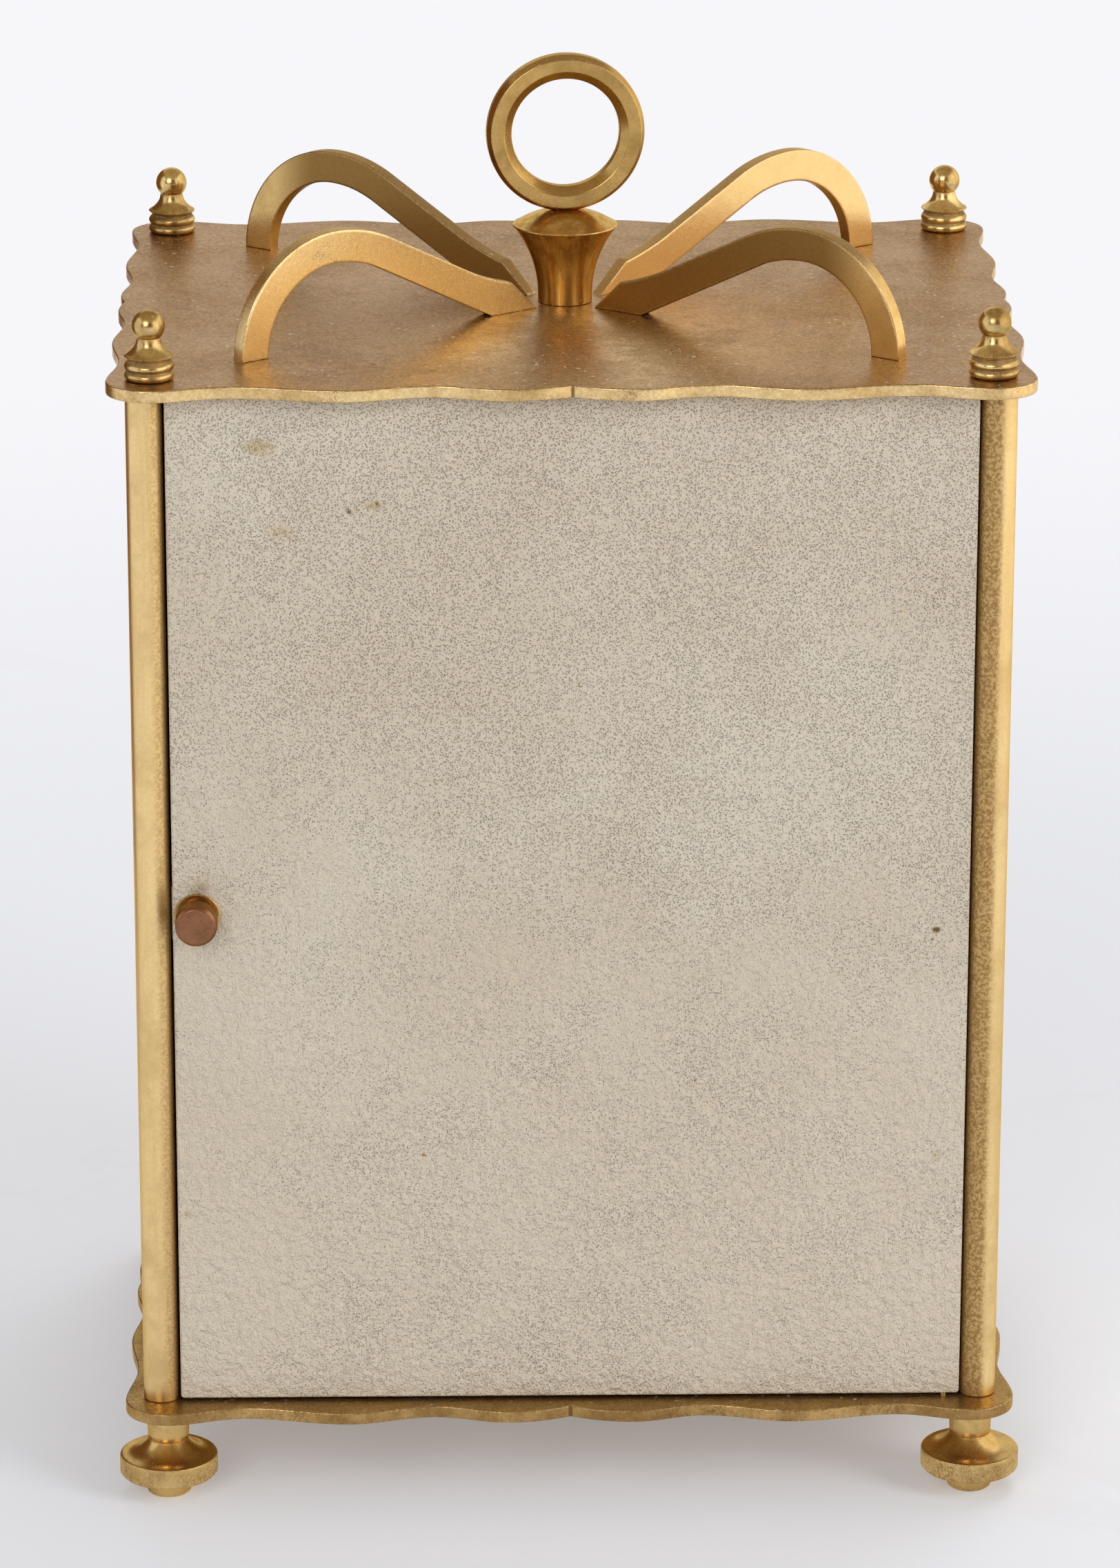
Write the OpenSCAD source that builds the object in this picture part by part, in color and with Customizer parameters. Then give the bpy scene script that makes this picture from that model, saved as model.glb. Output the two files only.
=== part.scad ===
// Four-column lantern clock with a hinged back door and a hand-wound balance movement.
// Millimetres. Origin on the table plane in the middle of the feet, +Z up,
// -Y towards the dial, +Y towards the back door.

/* [Plates] */
// Width of the scalloped base and top plates, over the corner lobes
plate_w = 149; // [145:1:160]
// Depth of the plates, over the corner lobes
plate_d = 120; // [118:1:130]
// Thickness of the plates
plate_t = 2; // [1.8:0.1:3]
// Clear height between the plates
case_h = 173.9; // [165:0.1:200]
// Radius of the round corner lobes
corner_r = 7.2; // [6:0.1:8]
// Depth of the hollows in the front and back edges
front_hollow = 2.8; // [1:0.1:3.5]
// Depth of the hollows in the side edges
side_hollow = 1.5; // [0.5:0.1:2.5]

/* [Columns, finials and feet] */
// Distance of the column axes inside the plates' side edges
column_in_x = 6; // [5.5:0.1:8]
// Distance of the column axes inside the plates' front and back edges
column_in_y = 8.05; // [7:0.05:10]
// Diameter of the columns
column_d = 6; // [5.5:0.1:6.6]
// Distance that the finials and feet stand inboard of the column axes
stud_inset = 1; // [0:0.1:1.2]
// Diameter of the threaded studs on the finials and feet
stud_d = 2.4; // [2:0.1:2.8]
// Length of a stud inside its column
stud_len = 10; // [6:1:16]
// Diameter of the finial's skirt and rings
finial_d = 8; // [7:0.1:9]
// Diameter of the finial's ball
ball_d = 5.3; // [4.5:0.1:6]
// Height of the feet, below the base plate
foot_h = 15; // [13:0.5:20]
// Diameter of the knurled disc of a foot
foot_d = 16.4; // [14:0.1:18]
// Height of the knurled rim
foot_rim_h = 3.6; // [2:0.1:5]
// Height of the pad under the disc
foot_pad_h = 3.4; // [2:0.1:4]
// Diameter of the foot's neck and of its pad
foot_neck_d = 7.3; // [6:0.1:8]
// Number of grooves in the knurled rim
knurl_count = 72; // [24:1:90]

/* [Straps] */
// Width of a strap, seen from the side
strap_w = 5.35; // [4.5:0.05:6]
// Thickness of a strap
strap_t = 2.4; // [2:0.1:3.5]
// Height of the straps over the top plate
strap_h = 19.1; // [17:0.1:22]
// Distance from the clock's axis to the crest of a strap
strap_crest_r = 48.6; // [44:0.1:49]
// Slope of the strap's long straight part, in degrees
strap_slope = 26.6; // [24:0.1:30]
// Distance from the clock's axis to the pointed inner end of a strap
strap_tip_r = 6.9; // [6:0.1:9]

/* [Crown] */
// Height of the pedestal's rim over the top plate
pedestal_h = 13.05; // [10:0.05:16]
// Diameter of the pedestal's foot
pedestal_foot_d = 9; // [7:0.1:10]
// Diameter of the pedestal's rim
pedestal_rim_d = 17.5; // [14:0.1:20]
// Height of the dome above the rim
dome_h = 2.75; // [1.5:0.05:4]
// Outer diameter of the handle ring
ring_d = 26.4; // [25:0.1:32]
// Diameter of the hole through the ring
ring_hole_d = 18.1; // [12:0.1:19]
// Thickness of the ring along its axis
ring_t = 4.4; // [3:0.1:6]
// Angle by which the ring stands turned about the vertical, in degrees
ring_turn = 6; // [0:1:10]

/* [Door and panels] */
// Thickness of the door and panels
panel_t = 1.6; // [1.5:0.1:2]
// Distance from the column axes out to the door's and panels' outer faces
panel_out = 2.25; // [1.8:0.05:2.6]
// Gap between the door and the plates
door_gap = 0.5; // [0.3:0.05:0.9]
// Gap between the door's free edge and its column
door_latch_gap = 0.8; // [0.4:0.05:1.5]
// Gap between the door's hinged edge and its column
door_hinge_gap = 0.2; // [0.1:0.05:0.5]
// Distance from the door's hinged edge to the hinge axis
hinge_in = 2.6; // [2:0.1:4]
// Diameter of the door pivots
pivot_d = 1.1; // [0.9:0.05:1.2]
// Distance from the door's free edge to the knob's axis
knob_in = 3.5; // [3.4:0.1:8]
// Height of the knob above the base plate
knob_z = 86; // [60:1:110]
// Diameter of the knob
knob_d = 6.9; // [5.5:0.1:6.9]
// Distance that the knob stands out from the door
knob_out = 5.8; // [4:0.1:7]
// Depth of the grooves that hold the fixed panels
groove_depth = 0.6; // [0.3:0.1:1]

/* [Dial] */
// Height of the dial's centre above the base plate
dial_z = 87; // [84:0.5:92]
// Diameter of the circle on which the hour markers end
dial_d = 112; // [90:1:116]
// Length of an hour marker
marker_len = 9; // [5:0.5:14]
// Width of an hour marker
marker_w = 2.4; // [1.5:0.1:4]
// Length of the hour hand
hour_len = 32; // [24:1:36]
// Length of the minute hand
minute_len = 46; // [38:1:50]
// Thickness of the hands
hand_t = 0.6; // [0.4:0.1:0.7]

/* [Movement] */
// Width of the movement plates
move_w = 76; // [72:1:90]
// Height of the movement plates above the dial's centre
move_top = 51; // [50:1:60]
// Thickness of the movement plates
move_t = 2; // [1.5:0.1:2.4]
// Space behind the front panel for the wheels that drive the hands
dial_space = 6.6; // [6.3:0.1:8]
// Clear space between the movement plates
move_gap = 26; // [26:0.5:30]
// Diameter of the pillars between the movement plates
pillar_d = 5; // [4:0.1:6]
// Diameter of the going barrel's drum
barrel_d = 42; // [36:1:44]
// Diameter of the ratchet wheel, over the teeth
ratchet_d = 20; // [16:0.5:24]
// Diameter of the balance wheel
balance_d = 20; // [14:0.5:22]

/* [Hidden] */
$fn = 48;

brass = "#c19a55";
dull_brass = "#a08468";
dark_brass = "#7a4a2a";
cream = "#cabfa9";
steel = "#8d9196";
blued = "#39445c";

// Small clearances: a running fit, a seat, and the overlap that a cut runs past a face
fit = 0.05;
seat = 0.1;
cut = 1;

corner_names = ["front_left", "front_right", "back_left", "back_right"];
corner_signs = [[-1, -1], [1, -1], [-1, 1], [1, 1]];

base_z = foot_h + plate_t;
top_z = base_z + case_h;
crown_z = top_z + plate_t;
column_x = plate_w / 2 - column_in_x;
column_y = plate_d / 2 - column_in_y;
stud_x = column_x - stud_inset;
strap_turn = atan2(column_y, stud_x);

// Edge pattern of a plate, from the middle of a side to its corner lobe:
// notch, small lobe, hollow, large lobe, hollow, corner
front_stops = [0, 0.155, 0.335, 0.55, 0.81, 1];
side_stops = [0, 0.1, 0.29, 0.515, 0.775, 1];
front_insets = front_hollow * [1, 0.1, 1, 0, 0.95, 0];
side_insets = side_hollow * [0.55, 0.05, 0.95, 0, 1, 0];
edge_steps = 6;

// Screws under the top plate and the base plate
screw_d = 1.6;
screw_head_d = 3;
screw_head_h = 1;
screw_bite = 4;
strap_foot_r = strap_crest_r + strap_h - strap_w / 2;
strap_tail_r = strap_tip_r + 6;
crown_screw_d = 2.5;
crown_head_d = 5;
crown_head_h = 1.5;
crown_bite = 2.2;

// Strap outline: an outer arch, an inner arch, a straight slope and a flattened tail
arch_r = strap_h;
shoulder_r = 25.2;
strap_kink = [12.2, 5.1];
strap_ease_r = 22;
strap_bend_r = 17.3;

// Foot outline, from the table up
foot_cove_h = 2.7;
foot_top_r = foot_neck_d / 2 - 0.3;
foot_edge = 0.35;
knurl_r = 0.22;

// Finial outline, from the plate up
ring_r = 0.75;
groove_r = finial_d / 2 - 0.65;
skirt_z = 3.9;
neck_r = 2;
neck_z = 6.5;
ball_z = neck_z - 0.45 + ball_d / 2;

ring_sunk = 0.25;
ring_z = crown_z + pedestal_h + dome_h + ring_d / 2 - ring_sunk;
ring_face_in = 1.35;
ring_face_out = 0.65;
ring_land = 0.9;

// Door and panels
door_y = column_y + panel_out;
door_x_free = column_x - column_d / 2 - door_latch_gap;
door_x_hinge = -(column_x - column_d / 2) + door_hinge_gap;
hinge_x = door_x_hinge + hinge_in;
hinge_y = door_y - panel_t / 2;
pivot_reach = 1.2;
pivot_sunk = 5;
knob_x = door_x_free - knob_in;
washer_d = knob_d + 0.8;
washer_t = 0.5;
knob_stem_d = 2;
nut_d = 4.4;
nut_t = 1.4;
catch_t = 0.4;
catch_h = 9;
panel_x = column_x + panel_out;
panel_gap = 0.3;

// Dial
dial_centre = base_z + dial_z;
marker_t = 0.8;
front_y = -door_y;
pipe_hole_r = 3.2;

// Depths in the movement, from front to back
mf0 = front_y + panel_t + dial_space;
mf1 = mf0 + move_t;
mb0 = mf1 + move_gap;
mb1 = mb0 + move_t;

// Gears: module, teeth of wheel, teeth of pinion
coarse_module = 0.5;
third_module = 0.45;
fourth_module = 0.32;
hour_module = 0.48;
great = [coarse_module, 96, 12];
centre = [coarse_module, 64, 8];
third = [third_module, 60, 8];
fourth = [fourth_module, 80, 8];
minute_pair = [coarse_module, 36, 12];
hour_pair = [hour_module, 40, 10];
function reach(g) = g[0] * (g[1] + g[2]) / 2;
function step(p, len, turn) = p + len * [cos(turn), sin(turn)];

// Places of the arbors, seen from the dial: [x, z]
third_turn = 55;
fourth_turn = 165;
escape_turn = 170;
lever_turn = 76;
balance_turn = 60;
minute_turn = 200;
lever_reach = 7.5;
fork_reach = 9;
centre_at = [0, dial_centre];
barrel_at = step(centre_at, reach(great), 270);
third_at = step(centre_at, reach(centre), third_turn);
fourth_at = step(third_at, reach(third), fourth_turn);
escape_at = step(fourth_at, reach(fourth), escape_turn);
lever_at = step(escape_at, lever_reach, lever_turn);
balance_at = step(lever_at, fork_reach, balance_turn);
minute_at = step(centre_at, reach(minute_pair), minute_turn);

arbor_r = 1;
pivot_r = 0.5;
escape_r = 5.5;
escape_teeth = 15;
pipe_r = 1.6;
hour_pipe_r = 2.3;
ratchet_teeth = 24;
square_w = 3;

// ---------- shared shapes ----------

function reversed(points) = [for (i = [len(points) - 1:-1:0]) points[i]];
function arc(centre, r, from, to, steps) =
  [for (i = [0:steps]) centre + r * [cos(from + (to - from) * i / steps), sin(from + (to - from) * i / steps)]];

// A cylinder along Y between two depths
module rod_y(at, y0, y1, r) {
  translate([at.x, y1, at.y]) rotate([90, 0, 0]) cylinder(h = y1 - y0, r = r);
}

// Children drawn in the X-Z plane, extruded between two depths
module slab_y(y0, y1) {
  translate([0, y1, 0]) rotate([90, 0, 0]) linear_extrude(y1 - y0) children();
}

// Inset of a plate's edge at stop number k, part t of the way to the next stop
function edge_inset(insets, k, t) =
  k == 0 ? insets[1] + (insets[0] - insets[1]) * (1 - t) * (1 - t)
         : insets[k] + (insets[k + 1] - insets[k]) * (1 - cos(180 * t)) / 2;
function edge_run(stops, insets, run) =
  [for (k = [0:len(stops) - 2], i = [0:edge_steps - 1])
    let (t = i / edge_steps)
    [run * (stops[k] + (stops[k + 1] - stops[k]) * t), edge_inset(insets, k, t)]];

// One quarter of the plate's outline, from the middle of the back edge to the middle of the right edge
function plate_quarter() =
  let (w = plate_w / 2, d = plate_d / 2)
  concat(
    [for (p = edge_run(front_stops, front_insets, w - corner_r)) [p.x, d - p.y]],
    arc([w - corner_r, d - corner_r], corner_r, 90, 0, 10),
    reversed([for (p = edge_run(side_stops, side_insets, d - corner_r)) [w - p.y, p.x]])
  );
function without_ends(points) = [for (i = [1:len(points) - 2]) points[i]];
function plate_outline() =
  let (q = plate_quarter())
  concat(
    q,
    reversed(without_ends([for (p = q) [p.x, -p.y]])),
    [for (p = q) [-p.x, -p.y]],
    reversed(without_ends([for (p = q) [-p.x, p.y]]))
  );

module at_studs() {
  for (s = corner_signs) translate([s.x * stud_x, s.y * column_y]) children();
}

// Grooves for the three fixed panels, cut from z0 up by h
module plate_grooves(z0, h) {
  groove = panel_t + 2 * fit;
  long_w = 2 * panel_half_w() + 2 * fit;
  side_d = 2 * panel_half_d() + 2 * fit;
  translate([-long_w / 2, front_y - fit, z0]) cube([long_w, groove, h]);
  for (s = [-1, 1])
    translate([s * (panel_x - panel_t / 2) - groove / 2, -side_d / 2, z0]) cube([groove, side_d, h]);
}
function panel_half_w() = column_x - column_d / 2 - panel_gap;
function panel_half_d() = column_y - column_d / 2 - panel_gap;

// ---------- case ----------

module base_plate() {
  color(brass) difference() {
    translate([0, 0, foot_h]) linear_extrude(plate_t) polygon(plate_outline());
    at_studs() translate([0, 0, foot_h - cut]) cylinder(h = plate_t + 2 * cut, d = stud_d + 2 * seat);
    translate([hinge_x, hinge_y, base_z - pivot_reach - seat])
      cylinder(h = pivot_reach + seat + cut, d = pivot_d + 2 * fit);
    plate_grooves(base_z - groove_depth, groove_depth + cut);
    for (p = seat_screw_places()) translate([p.x, p.y, foot_h - cut])
      cylinder(h = plate_t + 2 * cut, d = screw_d + 2 * seat);
  }
}

module top_plate() {
  color(dull_brass) difference() {
    translate([0, 0, top_z]) linear_extrude(plate_t) polygon(plate_outline());
    at_studs() translate([0, 0, top_z - cut]) cylinder(h = plate_t + 2 * cut, d = stud_d + 2 * seat);
    translate([hinge_x, hinge_y, top_z - cut])
      cylinder(h = pivot_reach + seat + cut, d = pivot_d + 2 * fit);
    plate_grooves(top_z - cut, groove_depth + cut);
    for (p = strap_screw_places()) translate([p.x, p.y, top_z - cut])
      cylinder(h = plate_t + 2 * cut, d = screw_d + 2 * seat);
    translate([0, 0, top_z - cut]) cylinder(h = plate_t + 2 * cut, d = crown_screw_d + 2 * seat);
  }
}

module column(s) {
  color(brass) difference() {
    translate([s.x * column_x, s.y * column_y, base_z]) cylinder(h = case_h, d = column_d);
    translate([s.x * stud_x, s.y * column_y, base_z - cut])
      cylinder(h = stud_len + seat + cut, d = stud_d + 2 * fit);
    translate([s.x * stud_x, s.y * column_y, top_z - stud_len - seat])
      cylinder(h = stud_len + seat + cut, d = stud_d + 2 * fit);
  }
}

module finial(s) {
  skirt_r = finial_d / 2;
  flare = [for (i = [0:8]) let (t = i / 8)
    [neck_r + (skirt_r - neck_r) * pow(1 - t, 2), skirt_z + (neck_z - skirt_z) * t]];
  color(brass) translate([s.x * stud_x, s.y * column_y, crown_z]) {
    rotate_extrude() polygon(concat([[0, 0], [groove_r, 0], [groove_r, skirt_z - 0.6], [skirt_r, skirt_z]],
      without_first(flare), [[0, neck_z]]));
    for (z = [ring_r, 3 * ring_r]) rotate_extrude() translate([skirt_r - ring_r, z]) circle(r = ring_r);
    translate([0, 0, ball_z]) sphere(d = ball_d);
    translate([0, 0, -plate_t - stud_len]) cylinder(h = plate_t + stud_len + ring_r, d = stud_d);
  }
}
function without_first(points) = [for (i = [1:len(points) - 1]) points[i]];

module foot(s) {
  rim_r = foot_d / 2;
  neck_r0 = foot_neck_d / 2;
  rim_top = foot_pad_h + foot_rim_h;
  cove_top = rim_top + foot_cove_h;
  cove = [for (i = [0:8]) let (t = i / 8)
    [rim_r - foot_edge - (rim_r - foot_edge - foot_top_r) * t, rim_top + foot_cove_h * pow(t, 2.2)]];
  color(brass) translate([s.x * stud_x, s.y * column_y, 0]) {
    difference() {
      rotate_extrude() polygon(concat(
        [[0, 0], [neck_r0, 0], [neck_r0, foot_pad_h], [rim_r - foot_edge, foot_pad_h],
         [rim_r, foot_pad_h + foot_edge], [rim_r, rim_top - foot_edge]],
        cove,
        [[neck_r0, foot_h], [0, foot_h]]));
      for (i = [0:knurl_count - 1]) rotate(i * 360 / knurl_count)
        translate([rim_r + knurl_r / 3, 0, foot_pad_h - cut]) cylinder(h = foot_rim_h + cut, r = knurl_r, $fn = 4);
    }
    translate([0, 0, cove_top]) cylinder(h = foot_h + plate_t + stud_len - cove_top, d = stud_d);
  }
}

// A strap seen from the side: [distance from the clock's axis, height over the top plate]
function strap_outline() =
  let (
    hub = [strap_crest_r, 0],
    hub2 = [strap_crest_r, strap_h - shoulder_r],
    slope = 90 + strap_slope,
    under_r = shoulder_r - strap_w,
    under_end = hub2 + under_r * [cos(slope), sin(slope)],
    corner_x = under_end.x - under_end.y / tan(strap_slope)
  )
  concat(
    [[strap_tip_r, 0], [corner_x, 0]],
    reversed(arc(hub2, under_r, 90, slope, 6)),
    reversed(without_last(arc(hub, arch_r - strap_w, 0, 90, 16))),
    arc(hub, arch_r, 0, 90, 20),
    without_first(arc(hub2, shoulder_r, 90, slope, 6)),
    tail_curve(hub2 + shoulder_r * [cos(slope), sin(slope)]),
    [strap_kink]
  );
function without_last(points) = [for (i = [0:len(points) - 2]) points[i]];

// The straight slope eases into the flatter tail between its lower half and the kink
function tail_curve(top) =
  let (
    from = [strap_ease_r, top.y - (top.x - strap_ease_r) * tan(strap_slope)],
    bend = [strap_bend_r, top.y - (top.x - strap_bend_r) * tan(strap_slope)]
  )
  [for (i = [0:5]) let (t = i / 6)
    (1 - t) * (1 - t) * from + 2 * t * (1 - t) * bend + t * t * strap_kink];

module strap(s) {
  color(brass) difference() {
    translate([0, 0, crown_z]) rotate(atan2(s.y * column_y, s.x * stud_x))
      rotate([90, 0, 0]) translate([0, 0, -strap_t / 2]) linear_extrude(strap_t) polygon(strap_outline());
    for (r = [strap_foot_r, strap_tail_r]) translate(concat(strap_point(s, r), [crown_z - cut]))
      cylinder(h = screw_bite - screw_head_h + cut + seat, d = screw_d);
  }
}
function strap_point(s, r) = r * [s.x * cos(strap_turn), s.y * sin(strap_turn)];
function strap_screw_places() = [for (s = corner_signs, r = [strap_foot_r, strap_tail_r]) strap_point(s, r)];

module crown_pedestal() {
  foot_r = pedestal_foot_d / 2;
  rim_r = pedestal_rim_d / 2;
  collar = 1;
  rise = pedestal_h - collar;
  flare_r = (rise * rise + (rim_r - foot_r) * (rim_r - foot_r)) / (2 * (rim_r - foot_r));
  flare = [for (i = [0:12]) let (z = rise * i / 12)
    [foot_r + flare_r - sqrt(flare_r * flare_r - z * z), collar + z]];
  dome_r = (rim_r * rim_r + dome_h * dome_h) / (2 * dome_h);
  dome_half = asin(rim_r / dome_r);
  dome = arc([0, pedestal_h + dome_h - dome_r], dome_r, 90 - dome_half, 90, 10);
  color(brass) difference() {
    translate([0, 0, crown_z])
      rotate_extrude() polygon(concat([[0, 0], [foot_r, 0]], flare, without_first(dome)));
    translate([0, 0, crown_z - cut]) cylinder(h = pedestal_h + dome_h + 2 * cut, d = crown_screw_d + 2 * seat);
    ring_place() cylinder(h = ring_t, d = ring_d, center = true);
  }
}

module ring_place() {
  translate([0, 0, ring_z]) rotate(ring_turn) rotate([90, 0, 0]) children();
}

module handle_ring() {
  r0 = ring_hole_d / 2;
  r1 = ring_d / 2;
  h = ring_t / 2;
  color(brass) difference() {
    ring_place() rotate_extrude() polygon([
      [r0, -ring_land], [r0 + ring_face_in, -h], [r1 - ring_face_out, -h], [r1, -ring_land],
      [r1, ring_land], [r1 - ring_face_out, h], [r0 + ring_face_in, h], [r0, ring_land]]);
    translate([0, 0, ring_z - ring_d / 2 - cut]) cylinder(h = crown_bite + cut + seat, d = crown_screw_d);
  }
}

module crown_screw() {
  top = ring_z - ring_d / 2 + crown_bite;
  color(steel) {
    translate([0, 0, top_z - crown_head_h]) cylinder(h = crown_head_h, d = crown_head_d);
    translate([0, 0, top_z - seat]) cylinder(h = top - top_z + seat, d = crown_screw_d);
  }
}

// A small screw with its head under z, reaching up
module small_screw(z) {
  translate([0, 0, z - screw_head_h]) cylinder(h = screw_head_h, d = screw_head_d);
  translate([0, 0, z - screw_head_h / 2]) cylinder(h = plate_t + screw_bite - screw_head_h / 2, d = screw_d);
}

module case_screws() {
  color(steel) {
    for (p = strap_screw_places()) translate([p.x, p.y, 0]) small_screw(top_z);
    for (p = seat_screw_places()) translate([p.x, p.y, 0]) small_screw(foot_h);
  }
}

// ---------- door and panels ----------

module back_door() {
  z0 = base_z + door_gap;
  h = case_h - 2 * door_gap;
  color(cream) difference() {
    translate([door_x_hinge, door_y - panel_t, z0]) cube([door_x_free - door_x_hinge, panel_t, h]);
    for (z = [z0 - cut, z0 + h - pivot_sunk]) translate([hinge_x, hinge_y, z])
      cylinder(h = pivot_sunk + cut, d = pivot_d);
    rod_y([knob_x, base_z + knob_z], door_y - panel_t - cut, door_y + cut, knob_stem_d / 2 + seat);
  }
}

module door_pivots() {
  h = pivot_sunk + door_gap + pivot_reach;
  color(steel) for (z = [base_z - pivot_reach, top_z + pivot_reach - h])
    translate([hinge_x, hinge_y, z]) cylinder(h = h, d = pivot_d);
}

module knob_turned() {
  translate([knob_x, door_y + washer_t, base_z + knob_z]) rotate([-90, 0, 0]) children();
}

module door_knob() {
  r = knob_d / 2;
  len = knob_out - washer_t;
  bevel = 0.5;
  waist = 0.55;
  color(dark_brass) {
    knob_turned() rotate_extrude() polygon([
      [0, 0], [r - waist, 0], [r - waist, 1], [r, 1.8], [r, len - bevel], [r - bevel, len], [0, len]]);
    rod_y([knob_x, base_z + knob_z], door_y - panel_t - catch_t - nut_t - bevel, door_y + washer_t + bevel,
      knob_stem_d / 2);
  }
}

module knob_washer() {
  color(brass) difference() {
    rod_y([knob_x, base_z + knob_z], door_y, door_y + washer_t, washer_d / 2);
    rod_y([knob_x, base_z + knob_z], door_y - cut, door_y + washer_t + cut, knob_stem_d / 2 + seat);
  }
}

module knob_nut() {
  y1 = door_y - panel_t - catch_t;
  color(brass) difference() {
    translate([knob_x, y1, base_z + knob_z]) rotate([90, 0, 0]) cylinder(h = nut_t, d = nut_d, $fn = 6);
    rod_y([knob_x, base_z + knob_z], y1 - nut_t - cut, y1 + cut, knob_stem_d / 2);
  }
}

// A leaf clamped under the knob's nut; its bent tip rides beside the column
module door_catch() {
  y1 = door_y - panel_t;
  tip_x = column_x - column_d / 2 - 0.15;
  back = knob_x - nut_d / 2;
  z = base_z + knob_z;
  color(steel) difference() {
    union() {
      translate([back, y1 - catch_t, z - catch_h / 2]) cube([tip_x - back, catch_t, catch_h]);
      translate([tip_x - catch_t, y1 - 3, z - catch_h / 2]) cube([catch_t, 3, catch_h]);
    }
    rod_y([knob_x, z], y1 - catch_t - cut, y1 + cut, knob_stem_d / 2 + seat);
  }
}

module front_panel() {
  z0 = base_z - groove_depth + fit;
  h = case_h + 2 * groove_depth - 2 * fit;
  color(cream) difference() {
    translate([-panel_half_w(), front_y, z0]) cube([2 * panel_half_w(), panel_t, h]);
    rod_y(centre_at, front_y - cut, front_y + panel_t + cut, pipe_hole_r);
  }
}

module side_panel(s) {
  z0 = base_z - groove_depth + fit;
  h = case_h + 2 * groove_depth - 2 * fit;
  color(cream) translate([s * (panel_x - panel_t / 2) - panel_t / 2, -panel_half_d(), z0])
    cube([panel_t, 2 * panel_half_d(), h]);
}

// ---------- dial and hands ----------

module hour_markers() {
  r1 = dial_d / 2;
  color(brass) slab_y(front_y - marker_t, front_y) translate(centre_at)
    for (i = [0:11]) rotate(30 * i)
      translate([r1 - marker_len, -marker_w / 2 * (i % 3 == 0 ? 1.5 : 1)])
        square([marker_len, marker_w * (i % 3 == 0 ? 1.5 : 1)]);
}

// A tapered hand that points along +X, with a round boss and a short tail
module hand_shape(len, w, boss_r, hole_r) {
  difference() {
    union() {
      circle(r = boss_r);
      polygon([[-boss_r * 2.2, -w * 0.35], [0, -w / 2], [len * 0.72, -w / 2], [len, 0],
        [len * 0.72, w / 2], [0, w / 2], [-boss_r * 2.2, w * 0.35]]);
    }
    circle(r = hole_r);
  }
}

hour_y = front_y - marker_t - 0.4;
minute_y = hour_y - hand_t - 0.6;
nut_y = minute_y - hand_t;

// The hands show ten past ten
hour_angle = 90 - 305;
minute_angle = 90 - 60;

module hour_hand() {
  color(brass) slab_y(hour_y - hand_t, hour_y) translate(centre_at) rotate(hour_angle)
    hand_shape(hour_len, 3.4, 4, hour_pipe_r + fit);
}

module minute_hand() {
  color(brass) slab_y(minute_y - hand_t, minute_y) translate(centre_at) rotate(minute_angle)
    hand_shape(minute_len, 2.8, 3.4, pipe_r + fit);
}

module hand_nut() {
  color(brass) difference() {
    rod_y(centre_at, nut_y - 1.2, nut_y, 2.6);
    rod_y(centre_at, nut_y - 0.8, nut_y + cut, pipe_r);
  }
}

// ---------- movement ----------

// Teeth drawn as a closed outline; the first tooth points along the angle first
function tooth_outline(m, teeth, first, widths, tip, root) =
  let (r = m * teeth / 2, pitch = 360 / teeth)
  [for (i = [0:teeth - 1], k = [0:5])
    let (
      a = first + i * pitch + [-widths[0], -widths[1], -widths[2], widths[2], widths[1], widths[0]][k] * pitch,
      rr = [r - root * m, r, r + tip * m, r + tip * m, r, r - root * m][k]
    )
    rr * [cos(a), sin(a)]];
module wheel_teeth(m, teeth, first) {
  polygon(tooth_outline(m, teeth, first, [0.24, 0.2, 0.08], 0.8, 1.25));
}
module pinion_teeth(m, teeth, first) {
  polygon(tooth_outline(m, teeth, first, [0.15, 0.18, 0.1], 0.6, 1.15));
}

// A toothed wheel with a rim, a boss and five arms
module spoked_wheel(m, teeth, first, boss_r, arms) {
  rim_r = m * teeth / 2 - 1.25 * m - 1.6;
  difference() {
    wheel_teeth(m, teeth, first);
    difference() {
      circle(r = rim_r);
      circle(r = boss_r);
      for (i = [0:arms - 1]) rotate(first + i * 360 / arms) translate([0, -0.8]) square([rim_r + cut, 1.6]);
    }
  }
}

move_h = dial_z + move_top;
pillar_in = 5;
pillar_up = 8;
pillar_down = 7;
pillar_x = move_w / 2 - pillar_in;
pillar_low = base_z + pillar_up;
pillar_high = base_z + move_h - pillar_down;
pillar_places = [[-pillar_x, pillar_low], [pillar_x, pillar_low], [-pillar_x, pillar_high], [pillar_x, pillar_high]];
seat_y = (mf1 + mb0) / 2;
function seat_screw_places() = [for (s = [-1, 1]) [s * pillar_x, seat_y]];

move_corner_r = 10;
move_leg = 14;
module movement_outline() {
  r = move_corner_r;
  arch = move_w / 2 - move_leg;
  difference() {
    union() {
      translate([-move_w / 2, base_z]) square([move_w, move_h - r]);
      translate([-move_w / 2 + r, base_z]) square([move_w - 2 * r, move_h]);
      for (s = [-1, 1]) translate([s * (move_w / 2 - r), base_z + move_h - r]) circle(r = r);
    }
    translate([0, base_z]) circle(r = arch);
  }
}

module pivot_holes(y0, y1, places) {
  for (p = places) rod_y([p[0], p[1]], y0 - cut, y1 + cut, p[2] + fit);
}
function hole(p, r) = [p.x, p.y, r];

module movement_screw_holes(y0, y1) {
  for (p = pillar_places) rod_y(p, y0 - cut, y1 + cut, screw_d / 2 + seat);
}

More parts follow.
